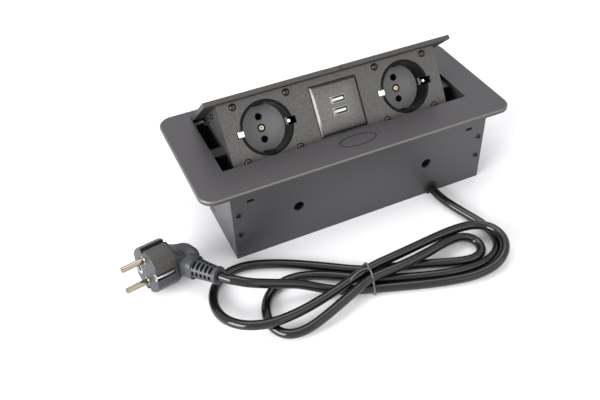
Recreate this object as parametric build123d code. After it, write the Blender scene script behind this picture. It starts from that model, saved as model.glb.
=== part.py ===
from build123d import *
import math
import os

# Pop up desk socket, millimetres. X along the desk edge, Y to the back, Z up, floor at zero.

# Housing under the desk
housing_length = 230.0
housing_depth = 109.2
housing_height = 68.0
sheet = 1.5
lip_depth = 12.0
end_lip_inset = 8.1
tab_reach = 10.0
tab_bottom = 6.0
tab_top_gap = 12.0
end_slit_length = 9.0
end_slit_height = 2.4
end_slit_z = 10.0
side_hole_radius = 4.5
side_hole_x = 59.0
side_hole_drop = 33.5
wall_slot_length = 6.0
wall_slot_height = 2.5
wall_slot_x = 99.0
wall_slot_drop = 11.3
wall_screw_x = 110.0
wall_screw_high_drop = 22.5
wall_screw_low = 25.3
wall_head_radius = 2.2
wall_head_height = 0.8
wall_shank_radius = 1.25
wall_shank_length = 3.2

# Cover flange on the desk
flange_length = 275.0
flange_overhang = 5.4
flange_thickness = 3.2
flange_corner = 12.0
flange_bevel = 1.0
opening_length = 221.0
opening_front_gap = 15.77
opening_rear_inset = 4.5
opening_corner = 1.2
mark_length = 33.0
mark_width_share = 0.4575
mark_line = 0.9
mark_cut = 0.4
mark_x = 0.5
mark_place_share = 0.3856
flange_screw_radius = 1.5
flange_head_radius = 2.75
flange_head_height = 2.0
flange_screw_reach = 3.9
flange_screw_end_inset = 15.0
flange_screw_front_x = 75.0
seat_relief = 0.2
seat_relief_gap = 1.0

# Hinge
hinge_inset = 2.1
hinge_drop = 6.5
pin_radius = 2.0
pin_clearance = 0.05
pin_tail = 2.2
boss_radius = 3.6
relief_radius = 4.2
relief_margin = 1.6
bracket_thickness = 3.0
bracket_before = 12.0
bracket_behind = 3.3
bracket_height = 28.5
bracket_top_gap = 0.3
bracket_screw_high_reach = 7.0
bracket_screw_high_drop = 12.0
bracket_screw_low_reach = 2.0
bracket_screw_low_drop = 27.0
bracket_head_radius = 2.4
bracket_head_height = 1.4
bracket_shank_radius = 1.4
screw_end_gap = 0.1
ring_thickness = 0.8
ring_radius = 3.3
ring_gap = 0.1
spring_wire = 1.2
spring_radius = 3.1
spring_pitch = 1.8
spring_turns_share = 5.25
spring_gap = 0.6
spring_front_leg = 9.6
spring_rear_leg = 7.4
spring_tab_width = 3.4
spring_tab_length = 3.6
spring_tab_thickness = 1.2
spring_tab_gap = 0.1

# Lid
lid_angle = 42.45
lid_overhang = 4.22
lid_thickness = 3.8
lid_side_gap = 0.675
lid_rear_gap = 0.4
lid_edge = 0.7
notch_half = 7.6
notch_depth = 1.9
lug_front_y = -37.5
lug_rear_y = -10.0
lug_drop = 8.0
lug_thickness = 2.2
lug_screw_front_y = -32.3
lug_screw_rear_y = -15.3
lug_screw_drop = 4.2
lug_head_radius = 2.4
lug_head_height = 1.2
lug_shank_radius = 1.45
fit_clearance = 0.05

# Slanted face and module shell
plate_length = 197.2
plate_sheet = 1.5
plate_tilt = 35.34
face_top_margin = 1.447
face_low_margin = 1.36
end_sheet = 1.5
end_front_tab = 6.0
end_front_tab_low = -10.0
end_front_tab_high = 35.5
stop_half = 5.0
stop_reach = 48.0
stop_gap = 0.3
stop_thickness = 1.5
stop_side_gap = 0.6
back_sheet = 1.2
floor_rear_y = -8.5
rear_top_y = -0.1
rear_top_drop = 10.3

# Sockets
socket_left_x = -62.97
socket_right_x = 63.62
socket_v = 13.16
cup_radius = 22.4
cup_inner = 20.2
cup_proud = 0.6
cup_depth = 17.5
cup_floor = 2.5
cup_edge = 0.35
aperture_gap = 0.15
notch_reach = 25.5
notch_width = 6.0
notch_bottom = 13.0
mount_half = 25.2
mount_sheet = 2.0
mount_corner = 2.0
rib_width = 6.5
rib_height = 2.0
rib_floor_gap = 2.6
pin_pitch = 19.0
pin_hole_radius = 3.0
counterbore_radius = 3.5
counterbore_depth = 1.0
centre_head_radius = 3.2
centre_head_height = 1.6
centre_shank_radius = 1.5
centre_shank_length = 9.0
cross_width = 0.9
cross_depth = 0.6
cross_reach_share = 0.62
face_screw_x = 22.9
face_screw_v = 22.6
face_head_radius = 2.6
face_head_height = 1.3
face_shank_radius = 1.5
face_shank_length = 7.0
face_boss_radius = 2.65
face_boss_length = 4.6
base_length = 40.0
base_width = 36.0
base_depth = 14.0
base_corner = 3.0
contact_radius = 3.3
contact_bore = 2.35
contact_length = 12.0
contact_slit = 0.8
clip_width = 5.0
clip_thickness = 0.8
clip_gap = 0.1
clip_reach = 24.0
clip_top = 0.8
clip_bump_x = 18.0
clip_bump_w = 6.0
clip_end_x = 21.0
clip_end_w = 11.0

# USB charger between the sockets
usb_x = 0.48
usb_v = 12.95
usb_cover = 42.9
usb_proud = 2.0
usb_back = 3.0
usb_gap = 0.1
usb_wall = 1.5
usb_case_depth = 24.5
usb_case_floor = 1.5
usb_ledge = 2.0
usb_edge = 0.5
port_x = 1.0
port_high_v = 19.0
port_low_v = 9.4
port_width = 13.2
port_height = 5.8
port_wall = 0.3
port_gap = 0.1
port_recess = 0.2
board_w = 12.0
board_length = 38.0
board_width = 30.0
board_thickness = 1.6
post_radius = 2.0
post_x = 16.0
post_v = 12.0
tongue_width = 11.1
tongue_height = 1.9
tongue_recess = 1.6

# Wires inside the module
wire_radius = 1.3
wire_bow = 4.5
wire_arc = 3.0
wire_live_v = 16.0
wire_neutral_v = 21.0
wire_earth_v = 26.0
wire_end_x = 12.0

# Magnetic catch on the housing floor
catch_reach = 38.0
catch_half = 14.5
catch_ear = 5.5
catch_ear_share = 0.265
catch_width = 14.0
catch_gap_share = 0.0259
keeper_length = 30.0
keeper_width = 12.0
keeper_thickness = 1.2
magnet_length = 10.0
magnet_width = 8.0
magnet_depth_share = 0.354
magnet_x = 8.0
catch_head_radius = 2.2
catch_head_height = 1.2
catch_shank_radius = 1.25

# Cable entry
cord_diameter = 7.4
entry_x = 66.0
grommet_neck = 4.65
grommet_flange = 6.2
grommet_lip = 1.5
bore_clearance = 0.04
clamp_inset = 9.1
clamp_width = 8.0
clamp_half = 11.0
clamp_foot = 3.0
clamp_wall = 1.6
clamp_screw_x = 8.3
clamp_head_radius = 2.1
clamp_head_height = 1.2
clamp_shank_radius = 1.25
lead_hole_radius = 4.3
lead_hole_x = 34.0
lead_hole_share = 0.5
lead_inside = 11.0
lead_near_share = 0.3
lead_far_share = 0.543
stud_x = 92.0
stud_inset = 15.1
stud_radius = 2.0
stud_height = 11.0
nut_radius = 3.8
nut_height = 3.2
eyelet_radius = 3.9
eyelet_thickness = 0.8
earth_wire_radius = 1.1
overrun = 1.0

# Plug on the cord, own axes: x towards the cable, y along the pins' line, z along the pins
plug_x = -187.4
plug_forward = 0.7
plug_z = 20.85
plug_radius = 18.6
plug_half = 16.4
plug_barrel = 20.0
plug_groove_width = 5.6
plug_groove_depth = 2.6
plug_pin_radius = 2.4
plug_pin_length = 19.0
plug_pin_tip = 1.2
plug_pin_root = 6.0
plug_strip_width = 4.5
plug_strip_thickness = 0.8
plug_strip_start = 1.0
plug_strip_end = 18.0
plug_socket_x = -10.0
plug_socket_radius = 3.1
plug_socket_bore = 2.4
plug_socket_depth = 14.0
grip_width = 12.0
neck_width = 8.6
grip_back = 34.0
grip_left = -13.5
neck_back = 38.5
grip_round = 3.0
fin_count = 3
fin_pitch = 4.6
fin_thickness = 1.6
fin_rise = 1.4
fin_length = 15.0
relief_start_x = 26.3
relief_start_z = -29.4
relief_end_x = 47.8
relief_end_z = -35.3
relief_start_radius = 7.8
relief_end_radius = 6.2
relief_collar_radius = 7.0
relief_collar_length = 3.2
relief_slots = 5
relief_slot_width = 1.5
relief_slot_depth = 1.9

# Plug axes in the frame, as direction shares
plug_pin_axis_share = (-0.9549, -0.2741, 0.1164)
plug_cable_axis_share = (0.2921, -0.9361, 0.1955)

# Twist tie round the hank's waist
tie_width = 2.5
tie_thickness = 0.35
tie_gap = 0.1
tie_side_gap = 2.0
tie_top_gap = 0.5
tie_tail_length = 13.0
tie_tail_radius = 0.55
tie_tail_swing = 0.62
tie_tail_turns_share = 4.0

# Cord route, chosen by hand: heights, lobes of the hank and the free ends, with y measured from the front wall
level_low = 4.2
level_high = 12.2
waist_x = -33.0
waist_reach = 69.9
waist_turn = -9.0
lane = 9.3
half_lane = 4.6
lobe_steps = 12
corner_share = 0.45
# side, reach, spread, pinch share, bow, lane in, lane out, level in, level out, change from, change to
small_left = (-1, 84.24, 25.47, 0.02, -12.02, 0.0, -half_lane, level_low, level_high, 128, 158)
small_right = (1, 97.83, 11.41, 0.3, 8.16, -half_lane, lane, level_high, level_low, 43, 79)
big_left = (-1, 120.08, 33.27, 0.05, 10.95, lane, half_lane, level_low, level_high, 86, 118)
big_right = (1, 114.71, 19.57, 0.16, 5.04, half_lane, -lane, level_high, level_low, 100, 140)
lobes = (small_left, small_right, big_left, big_right)
lead_points = [
    (66.0, -11.4, 5.2), (69.0, -24.4, 4.6), (74.5, -39.9, 4.2), (80.0, -55.4, 4.2), (82.1, -68.4, 4.2),
    (79.0, -81.4, 4.2), (69.4, -90.9, 4.2), (54.0, -95.4, 4.2), (30.8, -93.0, 4.2), (5.1, -85.2, 4.2), (-13.8, -77.9, 4.2),
]
tail_points = [
    (-56.5, -70.7, 4.2), (-70.4, -63.2, 6.6), (-84.6, -56.9, 12.2), (-98.0, -53.6, 16.0),
    (-111.0, -51.4, 20.5), (-122.5, -48.7, 24.3), (-131.0, -44.0, 26.6),
]
relief_run = 8.0

quarter = 90
half_turn = 180

wall_y = housing_depth / 2
inner_y = wall_y - sheet
wall_screw_high = housing_height - wall_screw_high_drop
end_lip_half = inner_y - end_lip_inset
flange_depth = housing_depth + 2 * flange_overhang
flange_top = housing_height + flange_thickness
opening_back = wall_y - opening_rear_inset
hinge_y = opening_back - hinge_inset
hinge_z = flange_top - hinge_drop
face_angle = math.radians(plate_tilt)
open_angle = math.radians(lid_angle)
lid_under = hinge_drop - lid_thickness
face_height = socket_v + mount_half + face_top_margin
face_rise = face_height * math.cos(open_angle - face_angle) - lid_under + hinge_drop * math.cos(open_angle)
plate_reach = face_rise / math.sin(open_angle)
plate_below = mount_half - socket_v + face_low_margin
lid_reach = plate_reach + lid_overhang
plate_y = hinge_y - plate_reach
opening_front = opening_front_gap - plate_y
opening_half = opening_length / 2
opening_centre_y = (opening_back - opening_front) / 2
front_band = flange_depth / 2 - opening_front
mark_width = front_band * mark_width_share
mark_y = -opening_front - front_band * mark_place_share
bracket_screw_high_y = hinge_y - bracket_screw_high_reach
bracket_screw_low_y = hinge_y - bracket_screw_low_reach
lid_half = opening_half - lid_side_gap
plate_half = plate_length / 2
end_inner = plate_half - end_sheet
end_x = housing_length / 2
inner_x = end_x - sheet
bracket_inner = inner_x - bracket_thickness
pin_v = pin_pitch / 2
cup_back = cup_depth - cup_proud + cup_floor
cup_floor_w = cup_depth - cup_proud
base_back = cup_back + base_depth
clip_w = cup_back + clip_gap + clip_thickness / 2
usb_case = usb_cover + 2 * usb_gap + 2 * usb_wall
cord_radius = cord_diameter / 2
entry_z = sheet + cord_radius
catch_y = hinge_y - catch_reach
clamp_y = clamp_inset - inner_y
stud_y = stud_inset - inner_y
plug_y = plug_forward - wall_y
waist_y = -wall_y - waist_reach
socket_places = (socket_left_x, socket_right_x)

face_plane = Plane(
    origin=(0, plate_y, flange_top),
    x_dir=(1, 0, 0),
    z_dir=(0, -math.cos(face_angle), math.sin(face_angle)),
)
lid_plane = Plane(
    origin=(0, hinge_y, hinge_z),
    x_dir=(1, 0, 0),
    z_dir=(0, math.sin(open_angle), math.cos(open_angle)),
)
plug_plane = Plane(
    origin=(plug_x, plug_y, plug_z),
    x_dir=plug_cable_axis_share,
    z_dir=plug_pin_axis_share,
)


def on_face(shape):
    return face_plane.location * shape


def on_lid(shape):
    return lid_plane.location * shape


def on_plug(shape):
    return plug_plane.location * shape


def block(x0, x1, y0, y1, z0, z1):
    centre = Pos((x0 + x1) / 2, (y0 + y1) / 2, (z0 + z1) / 2)
    return centre * Box(abs(x1 - x0), abs(y1 - y0), abs(z1 - z0))


def rod_x(radius, x0, x1, y, z):
    return Pos((x0 + x1) / 2, y, z) * Rot(0, quarter, 0) * Cylinder(radius, abs(x1 - x0))


def rod_y(radius, y0, y1, x, z):
    return Pos(x, (y0 + y1) / 2, z) * Rot(quarter, 0, 0) * Cylinder(radius, abs(y1 - y0))


def rod_z(radius, z0, z1, x, y):
    return Pos(x, y, (z0 + z1) / 2) * Cylinder(radius, abs(z1 - z0))


def slab_x(points, x0, x1):
    outline = make_face(Polyline([(x0, y, z) for y, z in points], close=True))
    return extrude(outline, amount=x1 - x0, dir=(1, 0, 0))


def slab_y(points, y0, y1):
    outline = make_face(Polyline([(x, y0, z) for x, z in points], close=True))
    return extrude(outline, amount=y1 - y0, dir=(0, 1, 0))


def rounded_block(length, width, corner, x, y, z0, z1):
    outline = Pos(x, y, z0) * RectangleRounded(length, width, corner)
    return extrude(outline, amount=z1 - z0)


def cross_slot(radius, top):
    reach = radius * cross_reach_share
    one = block(-reach, reach, -cross_width / 2, cross_width / 2, top - cross_depth, top + overrun)
    two = block(-cross_width / 2, cross_width / 2, -reach, reach, top - cross_depth, top + overrun)
    return one + two


def screw(head_radius, head_height, shank_radius, shank_length):
    head = rod_z(head_radius, 0, head_height, 0, 0)
    head = chamfer(head.edges().sort_by(Axis.Z)[-1], head_height / 3)
    shank = rod_z(shank_radius, -shank_length, 0, 0, 0)
    return head + shank - cross_slot(head_radius, head_height)


def face_point(v, w):
    y = plate_y + v * math.sin(face_angle) - w * math.cos(face_angle)
    z = flange_top + v * math.cos(face_angle) + w * math.sin(face_angle)
    return y, z


def lid_point(y, z):
    dy = y - hinge_y
    dz = z - hinge_z
    along = dy * math.cos(open_angle) - dz * math.sin(open_angle)
    above = dy * math.sin(open_angle) + dz * math.cos(open_angle)
    return along, above


def open_point(along, above):
    y = hinge_y + along * math.cos(open_angle) + above * math.sin(open_angle)
    z = hinge_z - along * math.sin(open_angle) + above * math.cos(open_angle)
    return y, z


def meet(p, q, r, s):
    ax, ay = q[0] - p[0], q[1] - p[1]
    bx, by = s[0] - r[0], s[1] - r[1]
    scale = ((r[0] - p[0]) * by - (r[1] - p[1]) * bx) / (ax * by - ay * bx)
    return p[0] + ax * scale, p[1] + ay * scale


def shifted(p, q, distance):
    length = math.hypot(q[0] - p[0], q[1] - p[1])
    nx = -(q[1] - p[1]) / length * distance
    ny = (q[0] - p[0]) / length * distance
    return (p[0] + nx, p[1] + ny), (q[0] + nx, q[1] + ny)


# Module outline in the closed lid's axes, measured from the hinge
plate_back_low = lid_point(*face_point(-plate_below, -plate_sheet))
plate_back_high = lid_point(*face_point(0, -plate_sheet))
plate_front_low = lid_point(*face_point(-plate_below, 0))
floor_level = plate_front_low[1]
floor_rear = (floor_rear_y, floor_level)
catch_space = hinge_z + floor_level - sheet
catch_gap = (catch_space - keeper_thickness) * catch_gap_share
catch_height = catch_space - keeper_thickness - catch_gap
catch_ear_height = catch_height * catch_ear_share
magnet_depth = catch_height * magnet_depth_share
rear_top = (rear_top_y, -rear_top_drop)


def make_housing_tray():
    base = block(-end_x, end_x, -wall_y, wall_y, 0, sheet)
    front = block(-end_x, end_x, -wall_y, -inner_y, 0, housing_height)
    rear = block(-end_x, end_x, inner_y, wall_y, 0, housing_height)
    lip_half = inner_x - fit_clearance
    lip = block(-lip_half, lip_half, -inner_y, -inner_y + lip_depth, housing_height - sheet, housing_height)
    tray = base + front + rear + lip
    for side in (-1, 1):
        tray -= rod_y(side_hole_radius, -wall_y - overrun, -inner_y + overrun, side * side_hole_x, housing_height - side_hole_drop)
        slot_x = side * wall_slot_x
        half = wall_slot_length / 2
        low = housing_height - wall_slot_drop - wall_slot_height / 2
        tray -= block(slot_x - half, slot_x + half, -wall_y - overrun, -inner_y + overrun, low, low + wall_slot_height)
        for z in (wall_screw_high, wall_screw_low):
            hole = wall_shank_radius + fit_clearance
            tray -= rod_y(hole, -wall_y - overrun, -inner_y + overrun, side * wall_screw_x, z)
            tray -= rod_y(hole, inner_y - overrun, wall_y + overrun, side * wall_screw_x, z)
    for x in (-flange_screw_front_x, 0, flange_screw_front_x):
        hole = flange_screw_radius + fit_clearance
        y = -inner_y + lip_depth / 2
        tray -= rod_z(hole, housing_height - sheet - overrun, housing_height + overrun, x, y)
    neck = grommet_neck + fit_clearance
    tray -= rod_y(neck, -wall_y - overrun, -inner_y, entry_x, entry_z)
    tray -= block(entry_x - neck, entry_x + neck, -wall_y - overrun, -inner_y, -overrun, entry_z)
    for x in (-clamp_screw_x, clamp_screw_x):
        tray -= rod_z(clamp_shank_radius, screw_end_gap, sheet + overrun, entry_x + x, clamp_y)
    for x in (-catch_half - catch_ear / 2, catch_half + catch_ear / 2):
        tray -= rod_z(catch_shank_radius, screw_end_gap, sheet + overrun, x, catch_y)
    return tray


def make_end_wall(side):
    wall = block(side * inner_x, side * end_x, -inner_y, inner_y, sheet, housing_height)
    lip_out = end_x + lip_depth
    lip = block(side * end_x, side * lip_out, -end_lip_half, end_lip_half, housing_height - sheet, housing_height)
    wall = wall + lip
    tab_in = inner_x - tab_reach
    for end in (-1, 1):
        tab_y = inner_y - sheet
        wall += block(side * tab_in, side * inner_x, end * tab_y, end * inner_y, tab_bottom, housing_height - tab_top_gap)
        for z in (wall_screw_high, wall_screw_low):
            cut = rod_y(wall_shank_radius, end * (tab_y - overrun), end * (inner_y + overrun), side * wall_screw_x, z)
            wall -= cut
        hole = flange_screw_radius + fit_clearance
        lip_x = end_x + lip_depth / 2
        y = end * (end_lip_half - flange_screw_end_inset)
        wall -= rod_z(hole, housing_height - sheet - overrun, housing_height + overrun, side * lip_x, y)
    slit = end_slit_length / 2
    low = end_slit_z - end_slit_height / 2
    wall -= block(side * (inner_x - overrun), side * (end_x + overrun), -slit, slit, low, low + end_slit_height)
    high_z = flange_top - bracket_screw_high_drop
    low_z = flange_top - bracket_screw_low_drop
    reach = end_x - screw_end_gap
    wall -= rod_x(bracket_shank_radius, side * inner_x, side * reach, bracket_screw_high_y, high_z)
    wall -= rod_x(bracket_shank_radius, side * inner_x, side * reach, bracket_screw_low_y, low_z)
    return wall


def make_wall_screws():
    made = []
    one = screw(wall_head_radius, wall_head_height, wall_shank_radius, wall_shank_length)
    for side in (-1, 1):
        for z in (wall_screw_high, wall_screw_low):
            made.append(Pos(side * wall_screw_x, -wall_y, z) * Rot(quarter, 0, 0) * one)
            made.append(Pos(side * wall_screw_x, wall_y, z) * Rot(-quarter, 0, 0) * one)
    return made


def make_flange_plate():
    plate = rounded_block(flange_length, flange_depth, flange_corner, 0, 0, housing_height - seat_relief, flange_top)
    plate = chamfer(plate.faces().sort_by(Axis.Z)[-1].edges(), flange_bevel)
    across = end_x + lip_depth + seat_relief_gap
    deep = wall_y + seat_relief_gap
    plate -= block(-across, across, -deep, deep, housing_height - seat_relief - overrun, housing_height)
    width = opening_front + opening_back
    low = housing_height - overrun
    high = flange_top + overrun
    plate -= rounded_block(opening_length, width, opening_corner, 0, opening_centre_y, low, high)
    ring = Ellipse(mark_length / 2, mark_width / 2)
    inner = Ellipse(mark_length / 2 - mark_line, mark_width / 2 - mark_line)
    mark = extrude(Pos(mark_x, mark_y, flange_top - mark_cut) * (ring - inner), amount=mark_cut + overrun)
    plate -= mark
    top = housing_height - sheet + flange_screw_reach
    for x, y in flange_screw_places():
        plate -= rod_z(flange_screw_radius, housing_height - overrun, top, x, y)
    return plate


def flange_screw_places():
    places = [(x, -inner_y + lip_depth / 2) for x in (-flange_screw_front_x, 0, flange_screw_front_x)]
    lip_x = end_x + lip_depth / 2
    for side in (-1, 1):
        for end in (-1, 1):
            places.append((side * lip_x, end * (end_lip_half - flange_screw_end_inset)))
    return places


def make_flange_screws():
    one = screw(flange_head_radius, flange_head_height, flange_screw_radius, flange_screw_reach)
    seat = housing_height - sheet
    return [Pos(x, y, seat) * Rot(half_turn, 0, 0) * one for x, y in flange_screw_places()]


def make_hinge_bracket(side):
    top = housing_height - bracket_top_gap
    low = top - bracket_height
    plate = block(side * bracket_inner, side * inner_x, hinge_y - bracket_before, hinge_y + bracket_behind, low, top)
    inside = bracket_inner - overrun
    plate -= rod_x(pin_radius, side * inside, side * (inner_x + overrun), hinge_y, hinge_z)
    hole = bracket_shank_radius + fit_clearance
    high_z = flange_top - bracket_screw_high_drop
    low_z = flange_top - bracket_screw_low_drop
    plate -= rod_x(hole, side * inside, side * (inner_x + overrun), bracket_screw_high_y, high_z)
    plate -= rod_x(hole, side * inside, side * (inner_x + overrun), bracket_screw_low_y, low_z)
    return plate


def make_bracket_screws():
    reach = bracket_thickness + sheet - screw_end_gap
    one = screw(bracket_head_radius, bracket_head_height, bracket_shank_radius, reach)
    made = []
    high_z = flange_top - bracket_screw_high_drop
    low_z = flange_top - bracket_screw_low_drop
    for side in (-1, 1):
        for y, z in ((bracket_screw_high_y, high_z), (bracket_screw_low_y, low_z)):
            made.append(Pos(side * bracket_inner, y, z) * Rot(0, -side * quarter, 0) * one)
    return made


def make_hinge_pins():
    inside = end_inner - pin_tail
    return [rod_x(pin_radius, side * inside, side * inner_x, hinge_y, hinge_z) for side in (-1, 1)]


def make_hinge_rings():
    made = []
    outer_x = end_inner - ring_gap
    for side in (-1, 1):
        ring = rod_x(ring_radius, side * (outer_x - ring_thickness), side * outer_x, hinge_y, hinge_z)
        ring -= rod_x(pin_radius, side * (outer_x - ring_thickness - overrun), side * end_inner, hinge_y, hinge_z)
        made.append(ring)
    return made


def make_spring():
    run = spring_pitch * spring_turns_share
    start_x = bracket_inner - spring_gap - spring_wire / 2 - run
    coil = Helix(spring_pitch, run, spring_radius, center=(0, 0, 0), direction=(1, 0, 0), lefthand=True)
    start = coil @ 0
    away = -(coil % 0)
    section = Plane(origin=start, z_dir=coil % 0) * Circle(spring_wire / 2)
    tube = sweep(section, path=coil, is_frenet=True)
    leg = spring_leg(start, away, spring_front_leg)
    rear = spring_leg(coil @ 1, coil % 1, spring_rear_leg)
    whole = tube + leg + rear
    turn = math.degrees(math.atan2(start.Z, start.Y))
    return Pos(start_x, hinge_y, hinge_z) * Rot(quarter - turn, 0, 0) * whole


def spring_leg(start, direction, length):
    square = Vector(0, direction.Y, direction.Z)
    place = Plane(origin=start, z_dir=square).location
    leg = place * rod_z(spring_wire / 2, 0, length, 0, 0)
    return leg + Pos(start.X, start.Y, start.Z) * Sphere(spring_wire / 2)


def lead_hole():
    share = lead_hole_share
    along = floor_rear[0] + (rear_top[0] - floor_rear[0]) * share
    above = floor_rear[1] + (rear_top[1] - floor_rear[1]) * share
    length = math.hypot(rear_top[0] - floor_rear[0], rear_top[1] - floor_rear[1])
    out = ((rear_top[1] - floor_rear[1]) / length, -(rear_top[0] - floor_rear[0]) / length)
    return (along, above), out


def make_module_back():
    front = meet(plate_back_low, plate_back_high, floor_rear, (floor_rear[0] - plate_half, floor_level))
    low, low_end = shifted(front, floor_rear, back_sheet)
    side, side_end = shifted(floor_rear, rear_top, back_sheet)
    inner_front = meet(plate_back_low, plate_back_high, low, low_end)
    corner = meet(low, low_end, side, side_end)
    outline = [front, floor_rear, rear_top, side_end, corner, inner_front]
    strip = on_lid(slab_x(outline, -end_inner, end_inner))
    hole, out = lead_hole()
    start = open_point(hole[0] - out[0] * back_sheet * 2, hole[1] - out[1] * back_sheet * 2)
    end = open_point(hole[0] + out[0] * overrun, hole[1] + out[1] * overrun)
    direction = (0, end[0] - start[0], end[1] - start[1])
    bore = Plane(origin=(lead_hole_x, start[0], start[1]), z_dir=direction).location
    return strip - bore * rod_z(lead_hole_radius, 0, back_sheet * 2 + overrun, 0, 0)


def make_module_end(side):
    tall = (lid_under - plate_back_low[1]) / math.cos(open_angle - face_angle)
    top_front = (plate_back_low[0] - tall * math.sin(open_angle - face_angle), lid_under)
    foot = meet(plate_back_low, plate_back_high, floor_rear, (floor_rear[0] - plate_half, floor_level))
    outline = [foot, top_front, (0, lid_under), (boss_radius, 0), rear_top, floor_rear]
    inner, outer = side * end_inner, side * plate_half
    plate = slab_x(outline, inner, outer) + rod_x(boss_radius, inner, outer, 0, 0)
    plate -= rod_x(pin_radius + pin_clearance, inner - side * overrun, outer + side * overrun, 0, 0)
    for y in (lug_screw_front_y, lug_screw_rear_y):
        hole = lug_shank_radius + fit_clearance
        plate -= rod_x(hole, inner - side * overrun, outer + side * overrun, y, lid_under - lug_screw_drop)
    plate = on_lid(plate)
    tab_in = side * (end_inner - end_front_tab)
    tab_back = -plate_sheet - end_sheet
    plate += on_face(block(tab_in, inner, end_front_tab_low, end_front_tab_high, tab_back, -plate_sheet))
    stop_top = housing_height - stop_gap
    stop_out = side * (inner_x - stop_side_gap)
    stop_y = hinge_y - stop_reach
    plate += block(outer, stop_out, stop_y - stop_half, stop_y + stop_half, stop_top - stop_thickness, stop_top)
    tab_low = hinge_z + spring_radius + spring_wire / 2 + spring_tab_gap
    tab_back_y = hinge_y - spring_front_leg + spring_tab_length / 2
    tab_out = side * (plate_half + spring_tab_width)
    spring_tab = block(outer, tab_out, tab_back_y - spring_tab_length, tab_back_y, tab_low, tab_low + spring_tab_thickness)
    return plate + spring_tab


def make_lid_plate():
    lid = block(-lid_half, lid_half, -lid_reach, relief_radius, lid_under, hinge_drop)
    finger = block(-notch_half, notch_half, -lid_reach - overrun, -lid_reach + notch_depth, lid_under - overrun, hinge_drop + overrun)
    lid -= finger
    front = [e for e in lid.edges().filter_by(Axis.X) if e.center().Z > hinge_drop - lid_edge]
    front = [e for e in front if e.center().Y < -lid_reach + lid_edge]
    lid = chamfer(front, lid_edge)
    for side in (-1, 1):
        start = end_inner - pin_tail - relief_margin
        lid -= rod_x(relief_radius, side * start, side * (lid_half + overrun), 0, 0)
        lug_x = side * end_inner
        lug_in = side * (end_inner - lug_thickness)
        lug = block(lug_in, lug_x, lug_front_y, lug_rear_y, lid_under - lug_drop, lid_under)
        for y in (lug_screw_front_y, lug_screw_rear_y):
            lug -= rod_x(lug_shank_radius, lug_in - side * overrun, lug_x + side * overrun, y, lid_under - lug_screw_drop)
        lid += lug
    lid = on_lid(lid)
    rear = opening_back - lid_rear_gap
    top = flange_top + lid_reach
    return lid - block(-opening_half, opening_half, rear, rear + lid_reach, 0, top)


def make_module_screws():
    reach = end_sheet + lug_thickness
    one = screw(lug_head_radius, lug_head_height, lug_shank_radius, reach)
    made = []
    for side in (-1, 1):
        for y in (lug_screw_front_y, lug_screw_rear_y):
            place = Pos(side * plate_half, y, lid_under - lug_screw_drop) * Rot(0, side * quarter, 0)
            made.append(on_lid(place * one))
    return made


def make_face_plate():
    low = -plate_below
    front_top = face_top(0)
    back_top = face_top(-plate_sheet)
    outline = [(low, -plate_sheet), (low, 0), (front_top, 0), (back_top, -plate_sheet)]
    flat = make_face(Polyline([(-plate_half, v, w) for v, w in outline], close=True))
    plate = extrude(flat, amount=plate_length, dir=(1, 0, 0))
    for x in socket_places:
        plate -= rod_z(cup_radius + aperture_gap, -plate_sheet - overrun, overrun, x, socket_v)
        reach = notch_reach
        half = notch_width / 2
        plate -= block(x - reach, x + reach, socket_v - half, socket_v + half, -plate_sheet - overrun, overrun)
        for dx, dv in corner_places():
            hole = face_shank_radius + fit_clearance
            plate -= rod_z(hole, -plate_sheet - overrun, overrun, x + dx, socket_v + dv)
    half = usb_cover / 2 + usb_gap
    plate -= block(usb_x - half, usb_x + half, usb_v - half, usb_v + half, -plate_sheet - overrun, overrun)
    return on_face(plate)


def face_top(w):
    low = lid_point(*face_point(0, w))
    high = lid_point(*face_point(plate_half, w))
    share = (lid_under - low[1]) / (high[1] - low[1])
    return plate_half * share


def corner_places():
    return [(sx * face_screw_x, sv * face_screw_v) for sx in (-1, 1) for sv in (-1, 1)]


def make_face_screws():
    one = screw(face_head_radius, face_head_height, face_shank_radius, face_shank_length)
    made = []
    for x in socket_places:
        for dx, dv in corner_places():
            made.append(on_face(Pos(x + dx, socket_v + dv, 0) * one))
    return made


def make_socket_cup(x):
    cup = rod_z(cup_radius, -cup_back, cup_proud, 0, 0)
    cup = chamfer(cup.edges().sort_by(Axis.Z)[-1], cup_edge)
    seat = -plate_sheet
    cup += rounded_block(2 * mount_half, 2 * mount_half, mount_corner, 0, 0, seat - mount_sheet, seat)
    for dx, dv in corner_places():
        cup += rod_z(face_boss_radius, seat - mount_sheet - face_boss_length, seat, dx, dv)
    cup -= rod_z(cup_inner, -cup_floor_w, cup_proud + overrun, 0, 0)
    for end in (-1, 1):
        inner = cup_inner - rib_height
        outer = cup_inner + (cup_radius - cup_inner) / 2
        low = -cup_floor_w
        cup += block(-rib_width / 2, rib_width / 2, end * inner, end * outer, low, -rib_floor_gap)
    half = notch_width / 2
    inner = cup_inner - overrun * 2
    for side in (-1, 1):
        cup -= block(side * inner, side * notch_reach, -half, half, -notch_bottom, cup_proud + overrun)
    for end in (-1, 1):
        cup -= rod_z(pin_hole_radius, -cup_back - overrun, 0, 0, end * pin_v)
    cup -= rod_z(counterbore_radius, -cup_floor_w - counterbore_depth, 0, 0, 0)
    cup -= rod_z(centre_shank_radius + fit_clearance, -cup_back - overrun, 0, 0, 0)
    for dx, dv in corner_places():
        cup -= rod_z(face_shank_radius, -face_shank_length, overrun, dx, dv)
    return on_face(Pos(x, socket_v, 0) * cup)


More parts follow.
